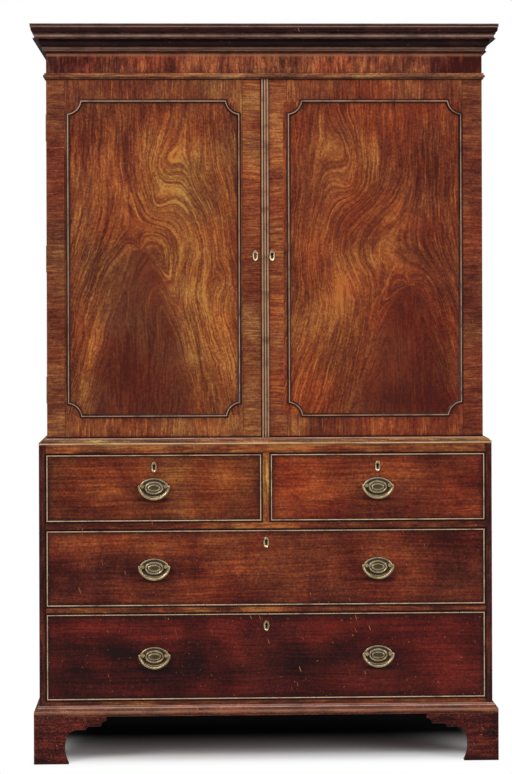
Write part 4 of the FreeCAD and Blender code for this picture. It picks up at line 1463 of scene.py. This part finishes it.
@dataclass
class Door:
    """One door of the upper case.

    Attributes:
        side: left or right.
        panel: The finish of its panel.
        banding: The finish of its frame.
        moulding: The finish of the moulding round the panel.
        lock_inset: From the right door's panel moulding to its keyhole.
    """

    side: str
    panel: FlameVeneer
    banding: Crossbanding
    moulding: Moulding
    lock_inset: float = 0.0417

    def build(self) -> None:
        """Dress the door's pieces."""
        dress(self.panel, f"{self.side}_door_panel")
        dress(self.banding, f"{self.side}_door_frame")
        PanelBead(self.side).build(self.moulding)
        low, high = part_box("left_door_escutcheon")
        x = (low[0] + high[0]) / 2.0
        if self.side == "right":
            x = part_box("right_door_moulding")[0][0] - self.lock_inset
        KeyPlate(f"{self.side}_door_key_plate", f"{self.side}_door", x, (low[2] + high[2]) / 2.0,
                 high[1]).build(OLD_BRASS)


@dataclass
class Drawer:
    """One drawer of the lower case.

    Attributes:
        name: Its place.
        front: The finish of its front.
        box: The finish of its sides, back and bottom.
        level: The height of its back plates.
        bails: The ends of its bails' names, and the side of each.
        brass: The finish of its brasses.
        plate: The finish of its back plates.
        lock_drop: From the front's top edge to its keyhole.
    """

    name: str
    front: DrawerFace
    box: Timber
    level: float
    bails: dict[str, float]
    brass: Brass = Brass("drawer brass", face=DRAWER_FACE, depths=KEYHOLE_SHADE_DEPTHS)
    plate: Brass = Brass("stamped brass", face=DRAWER_FACE, depths=PLATE_TARNISH_AND_SHADE_DEPTHS)
    lock_drop: float = 0.0345

    def build(self) -> None:
        """Dress the drawer's pieces and add its back plates."""
        body = f"{self.name}_drawer"
        dress(self.front, f"{body}_front")
        dress(self.box, f"{body}_box")
        dress(self.brass, f"{body}_brasses")
        dress(OLD_BRASS, *(f"{body}_bail{end}" for end in self.bails))
        low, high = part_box(f"{body}_front")
        KeyPlate(f"{body}_key_plate", body, (low[0] + high[0]) / 2.0,
                 high[2] - self.lock_drop).build(OLD_BRASS)
        for end, x in self.bails.items():
            BackPlate(f"{body}_plate{end}", body, x, self.level).build(self.plate)


@dataclass(frozen=True)
class StudioFloor(Finish):
    """The pale floor: shaded under the press, and as bright as the surroundings away from it.

    Attributes:
        lit: How pale the floor is for the press, and how much paler for the camera.
        shade: How dark it is under the press.
        shade_front: Where the shade begins and is full, from the front.
        shade_back: The same from the back.
        shade_side: The same from either side.
        glow_front: In front of the press, where the floor begins to glow and glows in full.
        glow_back: The same behind it.
        glow_side: The same beside it.
    """

    lit: tuple[float, float] = (0.45, 0.52)
    shade: float = 0.985
    shade_front: tuple[float, float] = (-0.13, 0.12)
    shade_back: tuple[float, float] = (0.62, 0.36)
    shade_side: tuple[float, float] = (0.68, 0.58)
    glow_front: tuple[float, float] = (-0.14, -0.34)
    glow_back: tuple[float, float] = (0.38, 0.62)
    glow_side: tuple[float, float] = (0.60, 0.66)

    def shader(self, w: Wiring) -> bpy.types.Node:
        """Place the floor's nodes and return its shader.

        Args:
            w: The wiring.

        Returns:
            The shader.
        """
        x, y, _ = w.here()
        seen = w.node("ShaderNodeLightPath").outputs["Is Camera Ray"]
        shade = w.times(w.stretch(y, *self.shade_front), w.stretch(y, *self.shade_back),
                        w.stretch(w.size(x), *self.shade_side), self.shade)
        grey = w.times(w.total(self.lit[0], w.times(seen, self.lit[1])), w.less(1.0, shade))
        matt = w.give(w.node("ShaderNodeBsdfDiffuse"), Color=w.place(grey, grey, grey))
        away = w.most(w.stretch(w.size(x), *self.glow_side),
                      w.most(w.stretch(y, *self.glow_front), w.stretch(y, *self.glow_back)))
        both = w.node("ShaderNodeMixShader")
        w.join(both, w.times(away, seen), matt.outputs[0],
               w.node("ShaderNodeEmission").outputs[0])
        return both


@dataclass
class Studio:
    """The floor, the lamps and the camera.

    Attributes:
        distance: How far the camera stands in front of the press's middle.
        height: The camera's height.
        aside: How far it stands to the side.
        turn: How far it looks to the right, in degrees.
        roll: How far it is tipped, in degrees.
        focal: The focal length in pixels of the frame.
        shift: The middle of the view in pixels, sideways and down.
        frame: The picture's width and height in pixels.
        sensor: The width of the camera's sensor, in millimetres.
        aim: What the lamps face.
        lamps: Each lamp's name, place, width and height, and power in watts.
        surround: How brightly the surroundings light the press, and how much more they are seen.
        sheen: How much less of them is reflected.
    """

    distance: float = 6.0
    height: float = 1.3
    aside: float = -0.201
    turn: float = 1.70
    roll: float = -0.186
    focal: float = 2064.2
    shift: tuple[float, float] = (-1.7, -93.7)
    frame: tuple[int, int] = (512, 774)
    sensor: float = 36.0
    aim: tuple[float, float, float] = (0.0, -0.2, 0.95)
    lamps: tuple[tuple[str, Sequence[float], Sequence[float], float], ...] = (
        ("key lamp", (-3.6, -3.9, 3.9), (2.0, 2.0), 165.0),
        ("fill lamp", (4.0, -3.6, 2.2), (2.0, 2.4), 85.0),
        ("top lamp", (0.0, -1.2, 4.6), (3.0, 2.0), 52.0))
    surround: tuple[float, float] = (0.33, 0.67)
    sheen: float = -0.28

    def camera(self) -> None:
        """Place the camera."""
        data = bpy.data.cameras.new("camera")
        data.sensor_width = self.sensor
        data.lens = self.focal / self.frame[1] * data.sensor_width
        data.shift_x = -self.shift[0] / self.frame[1]
        data.shift_y = self.shift[1] / self.frame[1]
        camera = hang("camera", data)
        camera.location = (self.aside, -self.distance, self.height)
        camera.rotation_euler = Euler((math.radians(90.0), math.radians(-self.roll),
                                       math.radians(-self.turn)), "XYZ")
        bpy.context.scene.camera = camera

    def light(self) -> None:
        """Hang the soft lamps so that they face the press."""
        for name, at, size, power in self.lamps:
            data = bpy.data.lights.new(name, "AREA")
            data.shape = "RECTANGLE"
            data.size, data.size_y = size
            data.energy = power
            lamp = hang(name, data)
            lamp.location = at
            way = Vector(self.aim) - Vector(at)
            lamp.rotation_euler = way.to_track_quat("-Z", "Y").to_euler()

    def floor(self) -> None:
        """Lay the pale floor."""
        mesh = bpy.data.meshes.new("floor")
        shape = bmesh.new()
        bmesh.ops.create_grid(shape, x_segments=8, y_segments=8, size=14.0)
        shape.to_mesh(mesh)
        shape.free()
        mesh.materials.append(StudioFloor("studio floor").material())
        hang("floor", mesh)

    def sky(self) -> None:
        """Set the pale surroundings."""
        world = bpy.data.worlds.new("studio")
        world.use_nodes = True
        bpy.context.scene.world = world
        w = Wiring(world.node_tree)
        ray = w.node("ShaderNodeLightPath").outputs
        seen = w.most(ray["Is Camera Ray"], ray["Is Transmission Ray"])
        strength = w.total(w.total(self.surround[0], w.times(seen, self.surround[1])),
                           w.times(ray["Is Glossy Ray"], self.sheen))
        back = w.node("ShaderNodeBackground")
        w.close(w.give(back, Color=(1.0, 1.0, 1.0, 1.0), Strength=strength),
                "ShaderNodeOutputWorld")

    def build(self) -> None:
        """Set up the whole studio."""
        bpy.context.scene.view_settings.view_transform = "Standard"
        self.camera()
        self.sky()
        self.floor()
        self.light()


def doors() -> list[Door]:
    """Return the two doors with their finishes.

    Returns:
        The left door and the right one.
    """
    moulding = Moulding("door moulding", tones=Tones((54, 28, 22)), run=Run.UPRIGHT, wear_and_highlight=0.3,
                        low=-0.2552, high=-0.2557, pale=(196, 146, 116), dull=(122, 76, 58))
    left_flame = FlameVeneer(
        "flame mahogany, left", tones=Tones((124, 62, 34), 0.85), gleam=0.38, seed=3.0,
        fork=(-0.345, 1.42), half_width=0.10, soft=0.07, heart=-0.24,
        swirls=(Swirl(-0.290, 1.65, 0.05, 0.11, 0.055, 0.1),
                Swirl(-0.24, 1.45, 0.13, 0.12, -0.085), Swirl(-0.30, 1.55, 0.03, 0.035, 0.03),
                Swirl(-0.110, 1.34, 0.03, 0.055, -0.04)),
        # the lighter places are partly the veneer's own tone, partly a painted sheen of its figure
        spots=(Spot(-0.275, 1.66, 0.07, 0.12, 0.24), Spot(-0.14, 1.20, 0.07, 0.17, 0.26, -0.35),
               Spot(-0.20, 1.40, 0.08, 0.14, 0.16, -0.4), Spot(-0.36, 1.06, 0.10, 0.10, -0.08),
               Spot(-0.31, 1.84, 0.30, 0.05, -0.18), Spot(-0.10, 1.78, 0.05, 0.06, -0.10),
               Spot(-0.385, 1.72, 0.02, 0.14, -0.24), Spot(-0.425, 1.66, 0.03, 0.10, 0.16),
               Spot(-0.50, 1.76, 0.05, 0.10, -0.22), Spot(-0.47, 1.36, 0.05, 0.10, -0.16),
               Spot(-0.15, 1.62, 0.05, 0.12, 0.14, -0.5),
               Spot(-0.545, 1.45, 0.025, 0.45, -0.10), Spot(-0.50, 1.10, 0.02, 0.12, 0.14, 0.1)))
    left_banding = Crossbanding(
        "crossbanded mahogany, left", tones=Tones((116, 57, 35), 0.9), gleam=0.36, seed=1.7,
        middle_x=-0.30985, inner=0.2475,
        spots=(Spot(-0.59, 1.4, 0.035, 0.6, -0.10), Spot(-0.035, 1.35, 0.04, 0.9, 0.09),
               Spot(-0.31, 0.925, 0.30, 0.03, 0.24), Spot(-0.04, 1.86, 0.04, 0.06, 0.15),
               # a painted shadow along the door's bottom edge
               Spot(-0.31, 0.9002, 9.0, 0.0024, -0.7)))
    right_flame = FlameVeneer(
        "flame mahogany, right", tones=Tones((121, 53, 29), 0.85), gleam=0.36, seed=11.0,
        fork=(0.40, 1.32), half_width=0.11, soft=0.08, heart=-0.22,
        swirls=(Swirl(0.230, 1.68, 0.05, 0.10, -0.055, -0.1),
                Swirl(0.25, 1.44, 0.13, 0.13, 0.09), Swirl(0.235, 1.60, 0.03, 0.035, -0.03)),
        # the lighter places are partly the veneer's own tone, partly a painted sheen of its figure
        spots=(Spot(0.205, 1.30, 0.06, 0.13, 0.38, 0.45), Spot(0.285, 1.72, 0.03, 0.09, 0.22),
               Spot(0.22, 1.62, 0.05, 0.07, 0.20), Spot(0.125, 1.42, 0.04, 0.20, 0.10, 0.3),
               Spot(0.45, 1.70, 0.10, 0.14, -0.16), Spot(0.42, 1.00, 0.12, 0.05, -0.18),
               Spot(0.49, 1.12, 0.05, 0.12, -0.06), Spot(0.49, 1.38, 0.07, 0.18, -0.2),
               Spot(0.12, 1.04, 0.06, 0.12, 0.2), Spot(0.35, 1.45, 0.04, 0.08, 0.12, 0.6),
               Spot(0.30, 1.84, 0.30, 0.04, -0.08)))
    right_banding = Crossbanding(
        "crossbanded mahogany, right", tones=Tones((118, 54, 33), 0.9), gleam=0.32, seed=5.1,
        middle_x=0.307, inner=0.2455,
        spots=(Spot(0.04, 1.65, 0.04, 0.25, 0.18), Spot(0.04, 1.25, 0.04, 0.3, 0.10),
               Spot(0.585, 1.3, 0.04, 0.8, -0.18), Spot(0.31, 1.86, 0.15, 0.03, 0.04),
               # the last spot is a painted shadow along the door's bottom edge
               Spot(0.31, 0.925, 0.3, 0.03, 0.16), Spot(0.31, 0.9002, 9.0, 0.0024, -0.7)))
    return [Door("left", left_flame, left_banding, moulding),
            Door("right", right_flame, right_banding, moulding)]


def drawers() -> list[Drawer]:
    """Return the four drawers with their finishes.

    Returns:
        The drawers, from the top down.
    """
    oak = Timber("oak boards", tones=Tones((168, 128, 88), 0.6, 0.2), run=Run.BACKWARDS,
                 hue=0.35, polish=0.0, rough=0.6, worn_and_highlit=(196, 168, 126), seed=21.0)
    pair = {"_left": -HANDLE, "_right": HANDLE}

    def drawer(name: str, tones: Tones, level: float, seed: float, knocks: float,
               bails: dict[str, float], *spots: Spot) -> Drawer:
        """Return a drawer whose front has a darker halo round each handle and a painted shadow
        under it.

        Args:
            name: Its place.
            tones: The tones of its front.
            level: The height of its back plates.
            seed: Makes its front differ from the others.
            knocks: How many dents and scratches its front has.
            bails: The ends of its bails' names, and the side of each.
            *spots: The front's other lighter and darker places.

        Returns:
            The drawer.
        """
        sides = bails.values()
        halo = [Spot(x + way * 0.062, level - 0.004, 0.022, 0.022, -0.13)
                for x in sides for way in (-1.0, 1.0)]
        # a painted shadow under each back plate
        halo += [Spot(x, level - 0.0335, 0.040, 0.0055, -0.75) for x in sides]
        halo += [Spot(x, level + 0.004, 0.055, 0.040, 0.10) for x in sides]
        front = DrawerFace(f"{name.replace('_', ' ')} drawer front", tones=tones, knocks=knocks,
                           seed=seed, spots=(*halo, *spots), node=f"{name}_drawer_front")
        return Drawer(name, front, oak, level, bails)

    return [
        drawer("top_left", Tones((115, 51, 28), 1.0, 1.1), 0.7606, 2.0, 0.6, {"": -HANDLE},
               Spot(-0.11, 0.79, 0.12, 0.04, 0.34), Spot(-0.13, 0.72, 0.10, 0.03, 0.10),
               Spot(-0.55, 0.70, 0.10, 0.03, -0.18), Spot(-0.50, 0.80, 0.12, 0.02, 0.08),
               Spot(-0.02, 0.76, 0.02, 0.1, -0.16)),
        drawer("top_right", Tones((118, 45, 25), 1.0, 1.1), 0.7606, 4.0, 0.7, {"": HANDLE},
               Spot(0.14, 0.78, 0.14, 0.06, 0.18), Spot(0.50, 0.76, 0.12, 0.10, -0.10),
               Spot(0.30, 0.70, 0.20, 0.02, -0.06)),
        drawer("middle", Tones((105, 39, 23), 1.1, 1.2), 0.5381, 6.0, 1.0, pair,
               Spot(-0.36, 0.605, 0.22, 0.03, 0.20), Spot(-0.55, 0.50, 0.14, 0.07, -0.34),
               Spot(-0.40, 0.53, 0.05, 0.03, -0.14), Spot(-0.20, 0.53, 0.04, 0.02, -0.18),
               Spot(0.0, 0.54, 0.18, 0.06, 0.16), Spot(0.53, 0.56, 0.10, 0.10, -0.30)),
        drawer("bottom", Tones((70, 17, 13), 1.3, 0.8), 0.2926, 8.0, 1.3, pair,
               Spot(-0.50, 0.37, 0.14, 0.02, 0.34), Spot(0.10, 0.37, 0.30, 0.03, 0.24),
               Spot(-0.30, 0.24, 0.3, 0.03, -0.14), Spot(0.50, 0.27, 0.10, 0.08, 0.26),
               Spot(0.10, 0.27, 0.10, 0.03, -0.30), Spot(-0.42, 0.30, 0.05, 0.03, -0.34),
               Spot(-0.20, 0.29, 0.04, 0.04, -0.34), Spot(-0.31, 0.345, 0.10, 0.015, 0.26),
               Spot(-0.52, 0.25, 0.05, 0.04, -0.24), Spot(0.20, 0.31, 0.04, 0.04, -0.26),
               Spot(-0.05, 0.30, 0.08, 0.03, 0.20))]


@dataclass
class Carcass:
    """The two cases, their mouldings, feet, trays and hidden boards.

    Attributes:
        fronts: The drawer fronts, round whose gaps painted shade lines lie on the boards.
        top_edge_highlight: The painted highlight on the rubbed edge of the lower case's top.
    """

    fronts: tuple[str, ...] = tuple(
        f"{place}_drawer_front" for place in ("top_left", "top_right", "middle", "bottom"))
    # a painted highlight along the rubbed top edge of the lower case
    top_edge_highlight: Rib = Rib(0.8818, 0.0016, 1.0, (246, 196, 150))

    def cases(self) -> None:
        """Dress the sides of the cases, and the rails and boards between the drawers."""
        dress(Timber("case sides", tones=Tones((70, 27, 22), 1.3), run=Run.UPRIGHT, figure=0.36,
                     wear_and_highlight=0.7, worn_and_highlit=(128, 78, 56), knocks=0.8, seed=9.0, fronts=self.fronts,
                     ribs=(self.top_edge_highlight,)), "lower_side_left", "lower_side_right")
        dress(Timber("upper sides", tones=Tones((76, 30, 22), 1.1), run=Run.UPRIGHT, knocks=0.8,
                     seed=10.0), "upper_side_left", "upper_side_right")
        dress(Timber("drawer rails", tones=Tones((112, 52, 30)), seed=12.0, cloud=0.6, gleam=0.3,
                     dirt_and_shade=0.25, fronts=self.fronts, knocks=1.0, ribs=(self.top_edge_highlight,), spots=(
                         Spot(0.0, 0.4230, 0.09, 0.02, 0.42), Spot(-0.05, 0.6561, 0.1, 0.02, 0.2),
                         Spot(-0.3, 0.868, 0.25, 0.02, 0.16), Spot(0.1, 0.868, 0.1, 0.02, 0.22),
                         Spot(-0.55, 0.6561, 0.1, 0.02, -0.2), Spot(0.0, 0.876, 9.0, 0.006, 0.2))),
              "drawer_rails", "lower_bottom_board")
        dress(Timber("muntin", tones=Tones((156, 94, 50)), run=Run.UPRIGHT, seed=14.0,
                     fronts=self.fronts), "drawer_muntin")

    def mouldings(self) -> None:
        """Dress the frieze, the mouldings and the feet."""
        dress(Timber("frieze veneer", tones=Tones((116, 54, 35), 1.1, 0.7), run=Run.UPRIGHT,
                     streaks=150.0, length=9.0, cloud=0.4, gleam=0.35, seed=16.0,
                     spots=(Spot(-0.58, 1.94, 0.10, 0.05, -0.28),
                            Spot(0.56, 1.94, 0.14, 0.05, -0.36),
                            Spot(0.10, 1.94, 0.20, 0.06, 0.10),
                            Spot(-0.30, 1.94, 0.12, 0.04, 0.06)),
                     # a pale band at the frieze's top, a painted highlight
                     ribs=(Rib(1.9652, 0.0042, 0.8, (208, 132, 98)),)), "frieze")
        dress(Timber("astragal", tones=Tones((134, 76, 52)), wear_and_highlight=0.7, seed=18.0,
                     # a painted shadow under the astragal
                     ribs=(Rib(1.8985, 0.0018, 0.8, (24, 9, 9)),)), "frieze_astragal")
        dress(Timber("cornice", tones=Tones((44, 15, 12), 1.3), worn_and_highlit=(186, 144, 126), wear_and_highlight=0.9,
                     polish=0.1, seed=20.0, ribs=(
                         # pale ribs: painted highlights on rubbed fillets and beads; SHADOW ribs:
                         # painted shadows, the widest in the cove
                         Rib(2.0464, 0.0016, 0.8), Rib(2.0412, 0.0014, 0.7, SHADOW),
                         Rib(2.0378, 0.0018, 0.9), Rib(2.0300, 0.0022, 0.6, SHADOW),
                         Rib(2.0145, 0.0034, 0.95), Rib(2.0215, 0.0016, 0.8, SHADOW),
                         Rib(1.9955, 0.0080, 0.7, SHADOW),
                         Rib(1.9825, 0.0024, 0.95, (190, 144, 122)),
                         Rib(1.9762, 0.0018, 0.7, (170, 122, 102)))), "cornice")
        dress(Timber("waist moulding", tones=Tones((126, 76, 46), 1.2), worn_and_highlit=(196, 146, 112),
                     # the pale ribs are painted highlights on rubbed edges, the dark one a painted
                     # shadow
                     seed=22.0, ribs=(Rib(0.8971, 0.0016, 0.9, (206, 158, 134)),
                                      Rib(0.8925, 0.0020, 0.5, (60, 30, 20)),
                                      Rib(0.8833, 0.0019, 1.0, (252, 206, 162)))),
              "waist_moulding")
        dress(Timber("base moulding", tones=Tones((104, 50, 38), 1.3), worn_and_highlit=(206, 158, 138),
                     wear_and_highlight=0.9, seed=24.0, mottle=0.5,
                     # the pale ribs are painted highlights on rubbed edges, the dark ones painted
                     # shadows
                     ribs=(Rib(0.1582, 0.0014, 0.7, (190, 144, 126)),
                           Rib(0.1534, 0.0018, 0.95, (214, 168, 150)),
                           Rib(0.1485, 0.0016, 0.5, (72, 30, 24)),
                           Rib(0.1423, 0.0032, 0.75, (168, 120, 88)),
                           Rib(0.1335, 0.0030, 0.7, (40, 16, 14)))), "base_moulding")
        dress(Timber("feet", tones=Tones((70, 21, 17), 1.3), figure=0.4, cloud=0.8, mottle=0.9,
                     spots=(Spot(0.60, 0.07, 0.15, 0.2, -0.12),),
                     knocks=2.0, wear_and_highlight=1.2, worn_and_highlit=(160, 116, 86), seed=26.0),
              "front_left_foot", "front_right_foot")

    def hidden(self) -> None:
        """Dress the boards behind, the trays and the irons."""
        plain = dict(hue=0.35, polish=0.0, rough=0.7, streaks=120.0, length=2.0, mottle=0.16)
        dress(Timber("pine boards", tones=Tones((150, 108, 72), 0.7, 0.2), run=Run.UPRIGHT,
                     seed=31.0, **plain), "lower_back_boards", "upper_back_boards")
        dress(Timber("stained back feet", tones=Tones((86, 42, 30)), seed=28.0), "back_feet")
        dress(Timber("level pine boards", tones=Tones((160, 116, 78), 0.7, 0.2), seed=33.0,
                     **plain), "upper_top_board", "upper_bottom_board", "lower_top_board",
              "dust_boards", "drawer_runners")
        dress(Timber("tray mahogany", tones=Tones((146, 82, 50), 0.7, 0.4), hue=0.6, polish=0.2,
                     rough=0.5, seed=41.0), *(f"linen_tray_{i}" for i in range(1, 5)),
              "tray_runners")
        dress(Moulding("meeting strip", tones=Tones((84, 51, 35)), run=Run.UPRIGHT, wear_and_highlight=0.6,
                       low=-0.2532, high=-0.2543, pale=(182, 140, 110), dull=(116, 80, 56)),
              "right_door_astragal")
        dress(Brass("door brass", face=DOOR_FACE, depths=KEYHOLE_SHADE_DEPTHS),
              "left_door_escutcheon", "right_door_lock")
        dress(OLD_BRASS, "case_hinge_leaves", "left_door_hinge_leaves",
              "right_door_hinge_leaves", "left_door_top_bolt", "left_door_bottom_bolt",
              "left_door_bolt_plates")

    def build(self) -> None:
        """Dress the pieces."""
        self.cases()
        self.mouldings()
        self.hidden()


def main() -> None:
    """Load the frame, dress it and set up the studio."""
    logging.basicConfig(level=logging.INFO, format="%(name)s: %(message)s")
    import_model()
    Studio().build()
    Carcass().build()
    for part in (*doors(), *drawers()):
        part.build()


if __name__ == "__main__":
    main()
